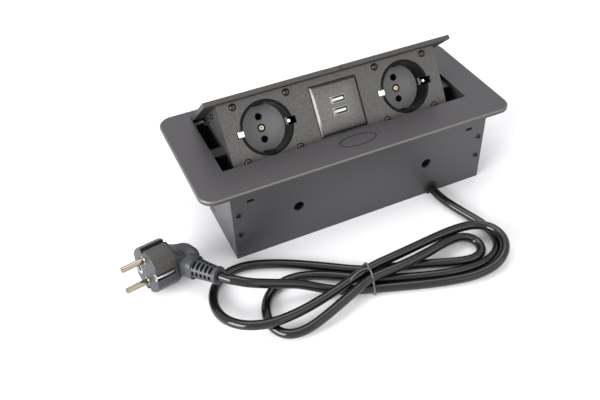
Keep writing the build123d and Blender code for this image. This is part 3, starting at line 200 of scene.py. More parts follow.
# Colour, grain as the grit's width and depth as its relief, both in millimetres, and how far the tone changes
finishes = {
    # hard anodised aluminium, satin: even dark grey with a soft sheen
    "anodisedFlange": {
        "colour": "#535154", "Metallic": 0.7, "Roughness": 0.42, "grain": 0.9, "depth": 0.02, "change": 0.05,
    },
    # bead blasted and anodised: a visible fine grain
    "blastedFace": {
        "colour": "#575553", "Metallic": 0.65, "Roughness": 0.46, "grain": 1.1, "depth": 0.14, "change": 0.42,
    },
    # the lid, sprayed like the face; its darker tone is painted shade against the top light
    "shadedLidSpray": {
        "colour": "#4b4845", "Metallic": 0.6, "Roughness": 0.5, "grain": 1.1, "depth": 0.06, "change": 0.2,
    },
    # powder coated sheet steel: matt with a slight orange peel
    "powderCoat": {
        "colour": "#38373a", "Roughness": 0.42, "Specular IOR Level": 0.6,
        "grain": 1.6, "depth": 0.05, "change": 0.04,
    },
    # black polycarbonate, polished mould
    "glossPolycarbonate": {
        "colour": "#0d0d0e", "Roughness": 0.12, "Specular IOR Level": 0.08,
        "grain": 4.0, "depth": 0.01, "change": 0.02,
    },
    # black nylon, textured mould
    "mouldedNylon": {"colour": "#161616", "Roughness": 0.55, "grain": 0.8, "depth": 0.05, "change": 0.05},
    # white nylon of the USB tongues
    "whiteNylon": {"colour": "#d9d8d2", "Roughness": 0.4, "grain": 0.8, "depth": 0.02, "change": 0.03},
    # soft PVC of the cord, extruded: wet looking black
    "cordPvc": {"colour": "#0c0c0d", "Roughness": 0.14, "grain": 2.5, "depth": 0.03, "change": 0.04},
    # PVC of the plug, moulded in a sparked tool: dull grey blue black
    "plugPvc": {"colour": "#313337", "Roughness": 0.46, "grain": 0.9, "depth": 0.12, "change": 0.16},
    # the barrel's grip side, sparked deeper than the rest: darker, slightly brown
    "sparkedPvc": {"colour": "#353330", "Roughness": 0.5, "grain": 0.9, "depth": 0.3, "change": 0.34},
    # nickel plated pins of the plug, warm where the plating is thin
    "pinPlate": {
        "colour": "#9c9384", "Metallic": 1.0, "Roughness": 0.09, "grain": 1.2, "depth": 0.01, "change": 0.05,
    },
    # nickel plated brass
    "nickelPlate": {
        "colour": "#cecdca", "Metallic": 1.0, "Roughness": 0.18, "grain": 1.2, "depth": 0.01, "change": 0.03,
    },
    # bare brass, turned
    "turnedBrass": {
        "colour": "#cdbd9c", "Metallic": 1.0, "Roughness": 0.26, "grain": 1.0, "depth": 0.02, "change": 0.06,
    },
    # zinc plated steel
    "zincPlate": {
        "colour": "#a9aaa8", "Metallic": 1.0, "Roughness": 0.34, "grain": 1.5, "depth": 0.02, "change": 0.08,
    },
    # blackened steel screws
    "blackOxide": {
        "colour": "#343435", "Metallic": 0.9, "Roughness": 0.38, "grain": 0.8, "depth": 0.02, "change": 0.05,
    },
    # screws plated in black nickel: dark, with bright glints
    "darkNickel": {
        "colour": "#454547", "Metallic": 1.0, "Roughness": 0.18, "grain": 0.8, "depth": 0.02, "change": 0.05,
    },
    # painted shade: near black put at the bottom of recesses, slots and holes where only shade falls
    "paintedShade": {"colour": "#060606", "Roughness": 0.8, "grain": 0.8, "depth": 0.01, "change": 0.05},
    # brass contacts deep in the pin holes, dull, darkened with painted shade
    "shadedBrass": {
        "colour": "#2c2419", "Metallic": 0.6, "Roughness": 0.6, "grain": 0.8, "depth": 0.02, "change": 0.1,
    },
    # annealed iron wire of the tie, bare and scratched
    "tieWire": {
        "colour": "#6f6d6a", "Metallic": 0.9, "Roughness": 0.36, "grain": 0.5, "depth": 0.03, "change": 0.15,
    },
    # cover of the USB ports, same spray as the face but finer
    "coverFace": {
        "colour": "#646261", "Metallic": 0.6, "Roughness": 0.42, "grain": 1.1, "depth": 0.12, "change": 0.4,
    },
    # stainless sheet of the port shells, folded, seen mostly edge on
    "shellSteel": {
        "colour": "#9c9c9b", "Metallic": 1.0, "Roughness": 0.2, "grain": 1.2, "depth": 0.01, "change": 0.05,
    },
    # spring steel wire, drawn
    "springWire": {
        "colour": "#8d8d8c", "Metallic": 1.0, "Roughness": 0.3, "grain": 0.8, "depth": 0.02, "change": 0.05,
    },
    # circuit board with green solder mask
    "solderMask": {"colour": "#12472a", "Roughness": 0.35, "grain": 1.2, "depth": 0.02, "change": 0.05},
    "brownPvc": {"colour": "#4c2a18", "Roughness": 0.45, "grain": 1.0, "depth": 0.02, "change": 0.04},
    "bluePvc": {"colour": "#1b3f8a", "Roughness": 0.45, "grain": 1.0, "depth": 0.02, "change": 0.04},
    "earthPvc": {"colour": "#6f9a24", "Roughness": 0.45, "grain": 1.0, "depth": 0.02, "change": 0.04},
}


# the noise of every finish, and how strongly its relief shows
grit = {"Detail": 3.0, "Roughness": 0.6, "bump": 0.35}


def makeFinish(name, finish):
    material, tree, shader = startMaterial(name, finish)
    place = addNode(tree, "ShaderNodeTexCoord")
    noise = addNode(
        tree, "ShaderNodeTexNoise",
        {"Scale": 1 / mm(finish["grain"]), "Detail": grit["Detail"], "Roughness": grit["Roughness"]},
        {"Vector": place.outputs["Object"]},
    )
    # the noise seldom leaves the middle half of its range, so the two ends lie twice as far out
    swing = finish["change"] * 2
    dark, light = [
        [min(1, c * scale) for c in hexColour(finish["colour"])[:3]] + [1] for scale in (1 - swing, 1 + swing)
    ]
    mix = addNode(
        tree, "ShaderNodeMix", {"data_type": "RGBA", 6: dark, 7: light}, {0: noise.outputs["Fac"]},
    )
    tree.links.new(mix.outputs[2], shader.inputs["Base Color"])
    bump = addNode(
        tree, "ShaderNodeBump", {"Strength": grit["bump"], "Distance": mm(finish["depth"])},
        {"Height": noise.outputs["Fac"]},
    )
    tree.links.new(bump.outputs["Normal"], shader.inputs["Normal"])
    return material


materials = {name: makeFinish(name, finish) for name, finish in finishes.items()}

# The flange's blank oval mark, engraved through the anodised skin, so its line is darker: its middle and
# half sizes, the line's half width as a share, and the height that the engraving stays under
ovalMark = {
    "x": 0.5, "y": -41.2, "halfX": 16.05, "halfY": 6.55, "line": 0.09, "under": 71.1, "colour": "#1d1c1d",
}
# its chamfer gets a painted highlight, a lighter tint for the light it catches: upward share of its normal,
# and least height
chamferHighlight = {"lean": 0.7071, "within": 0.14, "above": 69.5, "colour": "#6d6a66"}


def tintWhere(material, share, colour):
    # the finish's own colour gives way to another one where share is 1
    tree = material.node_tree
    base = tree.nodes["Principled BSDF"].inputs["Base Color"]
    tint = addNode(
        tree, "ShaderNodeMix", {"data_type": "RGBA", 7: hexColour(colour)},
        {0: share, 6: base.links[0].from_socket},
    )
    tree.links.new(tint.outputs[2], base)


def darkenMark(material, setup):
    tree = material.node_tree
    place = addNode(tree, "ShaderNodeTexCoord")
    part = addNode(tree, "ShaderNodeSeparateXYZ", None, {0: place.outputs["Object"]})
    squares = []
    for axis, middle, half in (("X", setup["x"], setup["halfX"]), ("Y", setup["y"], setup["halfY"])):
        off = addMath(tree, "SUBTRACT", part.outputs[axis], mm(middle))
        share = addMath(tree, "DIVIDE", off, mm(half))
        squares.append(addMath(tree, "MULTIPLY", share, share))
    onLine = addMath(tree, "COMPARE", addMath(tree, "ADD", *squares), 1.0, setup["line"])
    low = addMath(tree, "LESS_THAN", part.outputs["Z"], mm(setup["under"]))
    tintWhere(material, addMath(tree, "MULTIPLY", onLine, low), setup["colour"])


def paintChamferHighlight(material, setup):
    tree = material.node_tree
    place = addNode(tree, "ShaderNodeTexCoord")
    facing = addNode(tree, "ShaderNodeSeparateXYZ", None, {0: place.outputs["Normal"]})
    part = addNode(tree, "ShaderNodeSeparateXYZ", None, {0: place.outputs["Object"]})
    leaning = addMath(tree, "COMPARE", facing.outputs["Z"], setup["lean"], setup["within"])
    high = addMath(tree, "GREATER_THAN", part.outputs["Z"], mm(setup["above"]))
    # painted highlight on the chamfer faces
    tintWhere(material, addMath(tree, "MULTIPLY", leaning, high), setup["colour"])


darkenMark(materials["anodisedFlange"], ovalMark)
paintChamferHighlight(materials["anodisedFlange"], chamferHighlight)

# The cups: one moulding, polished at the wall and sparked at the bottom; the bottom's lighter grey is a
# painted reflection of the bright surroundings
cupBottomReflection = {
    # the sockets' axis, least share of it in the bottom's normal, greatest height along it
    "axis": (0, -0.8157, 0.5784), "facing": 0.9, "lower": 43.3, "colour": "#838385", "Roughness": 0.34,
}


def sparkCupBottomPaintReflection(material, setup):
    tree = material.node_tree
    place = addNode(tree, "ShaderNodeTexCoord")
    facing, height = [
        addNode(
            tree, "ShaderNodeVectorMath", {"operation": "DOT_PRODUCT", 1: setup["axis"]},
            {0: place.outputs[source]},
        )
        for source in ("Normal", "Object")
    ]
    flat = addMath(tree, "GREATER_THAN", facing.outputs["Value"], setup["facing"])
    low = addMath(tree, "LESS_THAN", height.outputs["Value"], mm(setup["lower"]))
    bottom = addMath(tree, "MULTIPLY", flat, low)
    # painted reflection: lighter grey on the bottom
    tintWhere(material, bottom, setup["colour"])
    roughness = tree.nodes["Principled BSDF"].inputs["Roughness"]
    rough = addNode(
        tree, "ShaderNodeMix", {"data_type": "FLOAT", 2: roughness.default_value, 3: setup["Roughness"]},
        {0: bottom},
    )
    tree.links.new(rough.outputs[0], roughness)


sparkCupBottomPaintReflection(materials["glossPolycarbonate"], cupBottomReflection)
print("finishes made,", len(materials))


def placedAt(origin, along, normal):
    z = Vector(normal).normalized()
    x = Vector(along)
    x = (x - z * x.dot(z)).normalized()
    return Matrix.Translation(Vector(origin)) @ Matrix((x, z.cross(x), z)).transposed().to_4x4()


def loft(shape, rings, materialIndex=0):
    # a capped circle is extruded ring by ring, every ring given as places in millimetres
    corners = bmesh.ops.create_circle(shape, cap_ends=True, segments=len(rings[0]), radius=1)["verts"]
    face = corners[0].link_faces[0]
    before = set(shape.faces) - {face}
    for corner, place in zip(corners, rings[0]):
        corner.co = place
    for ring in rings[1:]:
        order = {tuple(corner.co): i for i, corner in enumerate(corners)}
        # with its edges given, the face that was the end so far doesn't stay inside
        grown = bmesh.ops.extrude_face_region(shape, geom=[face, *face.edges])["geom"]
        face = [part for part in grown if isinstance(part, bmesh.types.BMFace)][0]
        corners = [part for part in grown if isinstance(part, bmesh.types.BMVert)]
        corners.sort(key=lambda corner: order[tuple(corner.co)])
        for corner, place in zip(corners, ring):
            corner.co = place
    for added in set(shape.faces) - before:
        added.material_index = materialIndex


def roundedRing(centre, across, upward, halfAcross, halfUpward, power, steps):
    # superellipse: power 2 is an ellipse, 5 nearly a rectangle
    ring = []
    for i in range(steps):
        a = 2 * math.pi * i / steps
        c, s = math.cos(a), math.sin(a)
        u = halfAcross * math.copysign(abs(c) ** (2 / power), c)
        v = halfUpward * math.copysign(abs(s) ** (2 / power), s)
        ring.append(Vector(centre) + u * Vector(across) + v * Vector(upward))
    return ring


usualSmoothAngle = 34


def makePiece(name, shape, place, setup):
    bmesh.ops.transform(shape, matrix=Matrix.Scale(mm(1), 4) @ place, verts=shape.verts)
    bmesh.ops.recalc_face_normals(shape, faces=shape.faces)
    for face in shape.faces:
        face.smooth = True
    sharp = math.radians(setup.get("smoothAngle", usualSmoothAngle))
    for edge in shape.edges:
        edge.smooth = not edge.is_manifold or edge.calc_face_angle() < sharp
    mesh = bpy.data.meshes.new(name)
    shape.to_mesh(mesh)
    shape.free()
    for material in setup["finishes"]:
        mesh.materials.append(materials[material])
    piece = bpy.data.objects.new(name, mesh)
    register(piece, setup)
    return piece


# Plug, own axes: x towards the cable, y along the pins' line, z along the pins
plugPlace = placedAt((-187.4, -53.9, 20.85), (0.2921, -0.9361, 0.1955), (-0.9549, -0.2741, 0.1164))
plug = {
    "body": "housing", "replaces": ["plug_body"], "slot": "plug_plastic",
    "finishes": ["plugPvc", "sparkedPvc", "paintedShade"],
    "steps": 160, "radius": 18.6, "half": 16.4,
    "groove": {"half": 2.4, "depth": 3.0}, "channel": {"half": 2.3, "depth": 1.8, "end": -17.0},
    # z and inset of the barrel's rings, from the face to the grip
    "barrel": [
        (0.0, 1.1), (-0.12, 0.55), (-0.45, 0.2), (-1.0, 0.0), (-17.0, 0.0), (-17.3, 0.0), (-19.2, 0.0),
        (-19.7, 0.3), (-20.0, 1.0),
    ],
    # below the rim the channel and the groove get painted shade, and one side is sparked
    "rim": -0.5, "dark": {"y": 2.2, "inset": 0.3}, "sparked": {"x": 3.0, "y": 2.2, "end": -19.0},
    # z, least x, greatest x and half width of the grip's sections
    "grip": [
        (-18.8, -14.0, 16.0, 13.4), (-20.6, -13.9, 16.2, 13.0), (-22.4, -13.4, 16.4, 11.6),
        (-24.6, -12.0, 16.4, 10.0), (-27.0, -10.0, 16.6, 8.9), (-29.4, -7.6, 17.0, 8.7),
        (-31.4, -5.2, 17.6, 9.3), (-33.2, -3.2, 18.4, 10.0), (-35.4, -0.8, 19.0, 10.0),
        (-37.0, 1.4, 18.6, 9.3), (-38.2, 4.0, 17.4, 7.8),
    ],
    "gripPower": 4.0, "gripSteps": 64,
    # run along the sleeve's axis before its start, half width, half depth
    "neck": [(-12.0, 6.6, 6.4), (-9.0, 7.9, 7.8), (-4.0, 8.2, 8.2), (-0.6, 8.2, 8.2), (0.0, 7.9, 7.9)],
    "neckPower": 3.4,
    # finger ridges on both sides of the grip, their rings as x and share of the full size
    "ridges": {
        "z": (-23.6, -25.6, -27.6), "rings": [(5.0, 0.4), (5.5, 1), (14.0, 1), (14.5, 0.4)],
        "half": 0.55, "deep": 0.99, "sink": 0.35, "steps": 16,
    },
}
sleeve = {
    "body": "housing", "replaces": ["strain_relief"], "slot": "plug_plastic",
    "finishes": ["plugPvc", "paintedShade"],
    "start": (26.3, 0.0, -29.4), "end": (47.8, 0.0, -35.3), "radii": (7.8, 6.2), "steps": 120,
    # slots in bands round the sleeve, with painted shade beyond a share of their depth
    "slots": {"count": 5, "width": 2.1, "depth": 3.1, "slant": 0.15, "from": 0.1, "dark": 0.25},
    # angle of each row of slots and half its spread, from the top round to the pins' side
    "rows": [(33, 26), (90, 15), (147, 26), (213, 26), (270, 15), (327, 26)],
    # the collar's rings as run after its start or before its end, and what the radius is short of
    "collar": {
        "length": 3.2, "radius": 7.1, "seam": 0.1,
        "rise": [(0.2, 0.25), (0.6, 0.0)], "end": [(0.7, 0.0), (0.2, 0.3), (0.0, 0.9)],
    },
}


def barrelRing(setup, z, inset):
    channel, groove = setup["channel"], setup["groove"]
    radius, half = setup["radius"] - inset, setup["half"] - inset
    ring = []
    for i in range(setup["steps"]):
        a = 2 * math.pi * (i + 0.5) / setup["steps"]
        x, y = radius * math.cos(a), radius * math.sin(a)
        if abs(x) > half:
            inChannel = z >= channel["end"] and abs(y) < channel["half"]
            x = math.copysign(half - (channel["depth"] if inChannel else 0), x)
        if abs(x) < groove["half"]:
            y = math.copysign(radius - groove["depth"], y)
        ring.append(Vector((x, y, z)))
    return ring


def sleeveFrame(setup):
    start = Vector(setup["start"])
    axis = (Vector(setup["end"]) - start).normalized()
    return start, axis, axis.cross(Vector(yAxis))


def makePlugBody(setup, sleeveSetup):
    shape = bmesh.new()
    loft(shape, [barrelRing(setup, z, inset) for z, inset in setup["barrel"]])
    dark, sparked = setup["dark"], setup["sparked"]
    for face in shape.faces:
        middle = face.calc_center_median()
        if middle.z < setup["rim"]:
            inGroove = abs(middle.x) < setup["groove"]["half"]
            inChannel = (
                middle.z > setup["channel"]["end"] and abs(middle.y) < dark["y"]
                and abs(middle.x) < setup["half"] - dark["inset"]
            )
            onSide = middle.z > sparked["end"] and middle.x > sparked["x"] and middle.y > sparked["y"]
            # index 2 is painted shade in the channel and the groove
            face.material_index = 2 if inChannel or inGroove else int(onSide)
    steps = setup["gripSteps"]
    loft(shape, [
        roundedRing(((low + high) / 2, 0, z), xAxis, yAxis, (high - low) / 2, half, setup["gripPower"], steps)
        for z, low, high, half in setup["grip"]
    ])
    start, axis, side = sleeveFrame(sleeveSetup)
    loft(shape, [
        roundedRing(start + run * axis, side, yAxis, deep, wide, setup["neckPower"], steps)
        for run, wide, deep in setup["neck"]
    ])
    ridges = setup["ridges"]
    for z in ridges["z"]:
        # half width of the first of the grip's sections that isn't above the ridge
        half = [section[3] for section in setup["grip"] if section[0] <= z][0]
        for sign in (-1, 1):
            middle = sign * (half - ridges["sink"])
            rings = []
            for x, size in ridges["rings"]:
                deep, high = ridges["deep"] * size, ridges["half"] * size
                rings.append(roundedRing((x, middle, z), yAxis, zAxis, deep, high, 2, ridges["steps"]))
            loft(shape, rings)
    return makePiece("plugBody", shape, plugPlace, setup)


def makeSleeve(setup):
    start, axis, side = sleeveFrame(setup)
    length = (Vector(setup["end"]) - start).length
    near, far = setup["radii"]
    collar, slots = setup["collar"], setup["slots"]
    top = length - collar["length"]
    # run along the axis, radius taken away in the rows
    levels = [(0.0, 0)]
    for i in range(slots["count"]):
        low = top / slots["count"] * (i + 0.5) - slots["width"] / 2
        high = low + slots["width"]
        levels += [(low, 0), (low + slots["slant"], slots["depth"])]
        levels += [(high - slots["slant"], slots["depth"]), (high, 0)]

    def taper(run):
        return near + (far - near) * run / length

    def sleeveRing(run, radius, cut=0):
        ring = []
        for i in range(setup["steps"]):
            degrees = 360 * i / setup["steps"]
            inRow = any(
                abs((degrees - middle + 180) % 360 - 180) < spread for middle, spread in setup["rows"]
            )
            reach = radius - (cut if inRow else 0)
            a = math.radians(degrees)
            ring.append(start + run * axis + reach * (math.cos(a) * Vector(yAxis) + math.sin(a) * side))
        return ring

    rings = [sleeveRing(run, taper(run), cut) for run, cut in levels]
    rings.append(sleeveRing(top - collar["seam"], taper(top)))
    rings += [sleeveRing(top + run, collar["radius"] - short) for run, short in collar["rise"]]
    rings += [sleeveRing(length - run, collar["radius"] - short) for run, short in collar["end"]]
    shape = bmesh.new()
    loft(shape, rings)
    for face in shape.faces:
        off = face.calc_center_median() - start
        run = off.dot(axis)
        deep = taper(run) - (off - run * axis).length
        # the slots' deep faces get painted shade
        face.material_index = int(slots["from"] < run < top and deep > slots["depth"] * slots["dark"])
    return makePiece("strainRelief", shape, plugPlace, setup)


plugMetal = {
    "body": "housing", "replaces": ["plug_earth_clips"], "slot": "brass",
    "finishes": ["nickelPlate", "paintedShade"], "power": 3,
    # ribbed strip down each side, bulging outward in its middle
    "strip": {
        "x": 16.1, "bulge": 0.7, "half": 1.0, "halfThickness": 0.25, "from": -0.2, "to": -16.6,
        "ribs": 22, "rib": 0.28, "steps": 12,
    },
    # tab on the face at the end of each strip, its rings as z and share of the full size
    "tab": {
        "x": 14.6, "reach": 1.9, "half": 2.9, "steps": 24,
        "rings": [(-0.4, 1), (0.2, 1), (0.35, 0.9), (0.3, 0.55), (-0.3, 0.5)],
    },
    # earth opening: radius and z of the liner, then the disc of painted shade in it
    "opening": {
        "x": -9.6, "y": -2.2,
        "liner": [(2.9, -8.8), (2.9, -0.2), (4.4, 0.0), (4.4, 0.3), (3.9, 0.45), (2.5, 0.2), (2.4, -0.6)],
        "disc": [(2.3, 0.02), (2.3, 0.1)],
    },
}
pins = {
    "body": "housing", "replaces": ["plug_pins"], "slot": "nickel", "finishes": ["pinPlate"],
    "spacing": 19.0, "steps": 48,
    # radius and z along one pin: sunk root, collar at the face, shank, rounded tip
    "profile": [
        (3.0, -5.8), (3.5, 0.05), (3.5, 0.35), (3.2, 0.55), (2.6, 0.6), (2.4, 0.75), (2.4, 17.6),
        (2.28, 18.2), (1.9, 18.75), (1.2, 19.0),
    ],
}


def circleRing(x, y, z, radius, steps=40):
    return roundedRing((x, y, z), xAxis, yAxis, radius, radius, 2, steps)


def makePlugMetal(setup):
    shape = bmesh.new()
    strip, tab, opening, power = setup["strip"], setup["tab"], setup["opening"], setup["power"]
    for side in (-1, 1):
        rings = []
        for i in range(2 * strip["ribs"] + 1):
            share = i / (2 * strip["ribs"])
            z = strip["from"] + (strip["to"] - strip["from"]) * share
            x = strip["x"] - strip["bulge"] * (2 * share - 1) ** 2
            half = strip["half"] - (strip["rib"] if i % 2 else 0)
            place = (side * x, 0, z)
            thick = strip["halfThickness"]
            rings.append(roundedRing(place, xAxis, yAxis, thick, half, power, strip["steps"]))
        loft(shape, rings)
        rings = []
        for z, size in tab["rings"]:
            place = (side * tab["x"], 0, z)
            reach, half = tab["reach"] * size, tab["half"] * size
            rings.append(roundedRing(place, xAxis, yAxis, reach, half, power, tab["steps"]))
        loft(shape, rings)
    # the disc, index 1, is painted shade standing for the hole's depth
    for index, rings in enumerate((opening["liner"], opening["disc"])):
        loft(shape, [circleRing(opening["x"], opening["y"], z, radius) for radius, z in rings], index)
    return makePiece("plugMetal", shape, plugPlace, setup)


def makePins(setup):
    shape = bmesh.new()
    for end in (-1, 1):
        y = end * setup["spacing"] / 2
        loft(shape, [circleRing(0, y, z, radius, setup["steps"]) for radius, z in setup["profile"]])
    return makePiece("plugPins", shape, plugPlace, setup)


onCord = [makePlugBody(plug, sleeve), makeSleeve(sleeve), makePlugMetal(plugMetal), makePins(pins)]
print("plug made")

# Twist tie: two thin wires wound round each other, once round the waist, ends lying to the left
tie = {
    "body": "housing", "replaces": ["twist_tie"], "slot": "tie_wire", "roundSteps": 3, "splineSteps": 2,
    "radius": 0.5, "twistRadius": 0.42, "pitch": 3.2, "sample": 0.4,
    # share of a run along x from which its twist is laid out from z instead
    "steep": 0.8,
    "place": (-33.0, -124.5), "turn": -9.0,
    # across the bundle and height of the wires' path round it, then along, across and height of the ends
    "round": [
        (0.0, 16.5), (-4.6, 16.7), (-8.0, 14.6), (-11.4, 9.6), (-13.9, 5.4), (-13.6, 1.9), (-11.0, 0.95),
        (0.0, 0.95), (11.0, 0.95), (13.6, 1.9), (13.9, 5.4), (11.4, 9.6), (8.0, 14.6), (4.6, 16.7),
        (0.4, 16.6),
    ],
    "ends": [
        (-1.5, 0.6, 17.2), (-5.0, 0.2, 17.4), (-9.5, -1.2, 17.3), (-14.0, -3.4, 16.6), (-17.0, -5.2, 14.8),
    ],
}


def makeTie(setup):
    turn = Matrix.Rotation(math.radians(setup["turn"]), 3, "Z")
    waist = Vector((*setup["place"], 0))
    path = [Vector((0.0, across, high)) for across, high in setup["round"]]
    path += [Vector(place) for place in setup["ends"]]
    samples = []
    for a, b in zip(path, path[1:]):
        parts = max(1, round((b - a).length / setup["sample"]))
        samples += [a.lerp(b, i / parts) for i in range(parts)]
    samples.append(path[-1])
    wires = []
    for phase in (0, math.pi):
        wire = []
        run = 0.0
        for i, here in enumerate(samples):
            before, after = samples[max(i - 1, 0)], samples[min(i + 1, len(samples) - 1)]
            ahead = (after - before).normalized()
            side = ahead.cross(Vector(xAxis if abs(ahead.x) < setup["steep"] else zAxis)).normalized()
            up = side.cross(ahead)
            a = phase + 2 * math.pi * run / setup["pitch"]
            off = setup["twistRadius"] * (math.cos(a) * side + math.sin(a) * up)
            wire.append(turn @ (here + off) + waist)
            run += (after - here).length
        wires.append(wire)
    piece = makeCurve("twistTie", wires, setup["radius"], setup)
    piece.data.materials.append(materials["tieWire"])
    return piece


onCord.append(makeTie(tie))

# Slanted face, own axes: x along the flange, y up the slope, z out of the face
faceTilt = 0.6168
facePlace = placedAt((0, -13.63, 71.2), (1, 0, 0), (0, -math.cos(faceTilt), math.sin(faceTilt)))
sockets = {"left": -62.97, "right": 63.62, "height": 13.16}
clips = {
    "body": "module", "slot": "nickel", "finishes": ["nickelPlate"],
    "leftWidth": 4.6, "rightWidth": 2.3, "thickness": 0.6, "power": 5, "steps": 20,
    # x from the socket's centre and z of the strip: the left arm shows its arched top, the right arm its
    # inner bow
    "leftArm": [
        (0.0, -19.8), (-22.6, -19.8), (-24.1, -18.6), (-24.3, -12.0), (-24.5, -2.4), (-24.3, -0.6),
        (-23.5, 0.25), (-21.6, 0.45), (-19.8, 0.2), (-18.9, -0.8), (-18.6, -3.0), (-18.9, -6.0),
        (-20.0, -9.0), (-21.2, -11.0),
    ],
    "rightArm": [
        (0.0, -19.8), (22.6, -19.8), (24.1, -18.6), (24.0, -13.2), (22.6, -11.8), (20.8, -9.6), (19.4, -7.4),
        (18.9, -5.6), (19.4, -3.9), (20.8, -2.9),
    ],
}


def stripRings(setup, path, width, centre):
    rings = []
    for i, (x, z) in enumerate(path):
        before, after = path[max(i - 1, 0)], path[min(i + 1, len(path) - 1)]
        along = Vector((after[0] - before[0], 0, after[1] - before[1])).normalized()
        across = along.cross(Vector(yAxis))
        place = (centre + x, sockets["height"], z)
        rings.append(roundedRing(
            place, across, yAxis, setup["thickness"] / 2, width / 2, setup["power"], setup["steps"],
        ))
    return rings


def makeClips(setup, side):
    shape = bmesh.new()
    for arm, width in (("leftArm", setup["leftWidth"]), ("rightArm", setup["rightWidth"])):
        loft(shape, stripRings(setup, setup[arm], width, sockets[side]))
    replaced = {"replaces": ["earth_clip_" + side]}
    return makePiece("earthClip" + side.capitalize(), shape, facePlace, setup | replaced)


for side in ("left", "right"):
    makeClips(clips, side)
print("earth clips made")

# Screws: domed head with a cross recess, a ring of painted shadow below it
headShape = {
    "steps": 48,
    # radius and height of the ring of painted shadow and of the dome
    "ring": [(3.2, -0.4), (3.2, 0.08), (3.0, 0.16), (2.55, 0.16)],
    "dome": [(2.3, 0.1), (2.3, 0.35), (2.18, 0.75), (1.85, 1.08), (1.55, 1.22)],
    # arms of the cross: reach, reach between them, and the degrees over which one gives way to the other
    "cross": {"arm": 1.3, "root": 0.45, "half": 11, "blend": 12},
    # depth below the dome's top and share of the cross, for the recess and its bottom of painted shade
    "recess": [(0.0, 1.0), (0.12, 0.97)], "bottom": [(0.13, 0.96), (0.11, 0.96)],
}
faceScrews = {
    "body": "module", "replaces": ["face_screws"], "slot": "black_steel",
    "finishes": ["darkNickel", "paintedShade"], "across": 22.9, "up": 22.6, "smoothAngle": 26,
    # how far each screw is turned, in degrees
    "turns": (12, 55, 31, 70, 5, 40, 63, 22),
}
centreScrews = {
    "body": "module", "replaces": ["centre_screws"], "slot": "brass", "finishes": ["turnedBrass", "paintedShade"],
    "depth": -17.9, "size": 1.18, "turns": {"left": 20, "right": 50}, "smoothAngle": 26,
}


def crossRing(x, y, z, size, turn):
    # four arms, one every 90 degrees
    cross, steps = headShape["cross"], headShape["steps"]
    ring = []
    for i in range(steps):
        degrees = 360 * i / steps
        off = abs((degrees + turn + 45) % 90 - 45)
        share = min(1, max(0, (off - cross["half"]) / cross["blend"]))
        radius = size * (cross["arm"] - (cross["arm"] - cross["root"]) * share)
        a = math.radians(degrees)
        ring.append(Vector((x + radius * math.cos(a), y + radius * math.sin(a), z)))
    return ring


def addScrew(shape, x, y, z, size, turn):
    steps = headShape["steps"]
    ring, dome = [
        [circleRing(x, y, z + high * size, radius * size, steps) for radius, high in headShape[part]]
        for part in ("ring", "dome")
    ]
    top = headShape["dome"][-1][1]
    recess, bottom = [
        [crossRing(x, y, z + (top - depth) * size, size * share, turn) for depth, share in headShape[part]]
        for part in ("recess", "bottom")
    ]
    # index 1 is painted shade: the ring under the head and the recess's bottom
    loft(shape, ring, 1)
    loft(shape, dome + recess)
    loft(shape, bottom, 1)


def makeFaceScrews(setup):
    shape = bmesh.new()
    corners = [(side, dx, dy) for side in ("left", "right") for dx in (-1, 1) for dy in (-1, 1)]
    for (side, dx, dy), turn in zip(corners, setup["turns"]):
        x = sockets[side] + dx * setup["across"]
        y = sockets["height"] + dy * setup["up"]
        addScrew(shape, x, y, 0, 1.0, turn)
    return makePiece("faceScrews", shape, facePlace, setup)


def makeCentreScrews(setup):
    shape = bmesh.new()
    for side, turn in setup["turns"].items():
        addScrew(shape, sockets[side], sockets["height"], setup["depth"], setup["size"], turn)
    return makePiece("centreScrews", shape, facePlace, setup)


makeFaceScrews(faceScrews)
makeCentreScrews(centreScrews)
print("screws made")

# USB cover: broad bevel round a flat front, a dark gap between it and the face
usbCover = {
    "body": "module", "replaces": ["usb_cover"], "slot": "grey_plastic", "finishes": ["coverFace"],
    "x": 0.48, "y": 12.95, "front": 18.95, "proud": 2.0, "back": -3.0,
    # half width and height of the rings from the front's edge round the bevel to the back
    "rings": [(19.13, 1.9), (20.75, 0.12), (20.85, -0.05), (20.85, -3.0)],
    "ports": {"x": 1.0, "levels": (9.4, 19.0), "width": 13.4, "height": 6.0}, "smoothAngle": 50,
    # a corner this close to a ring's line lies on it
    "near": 0.01,
}


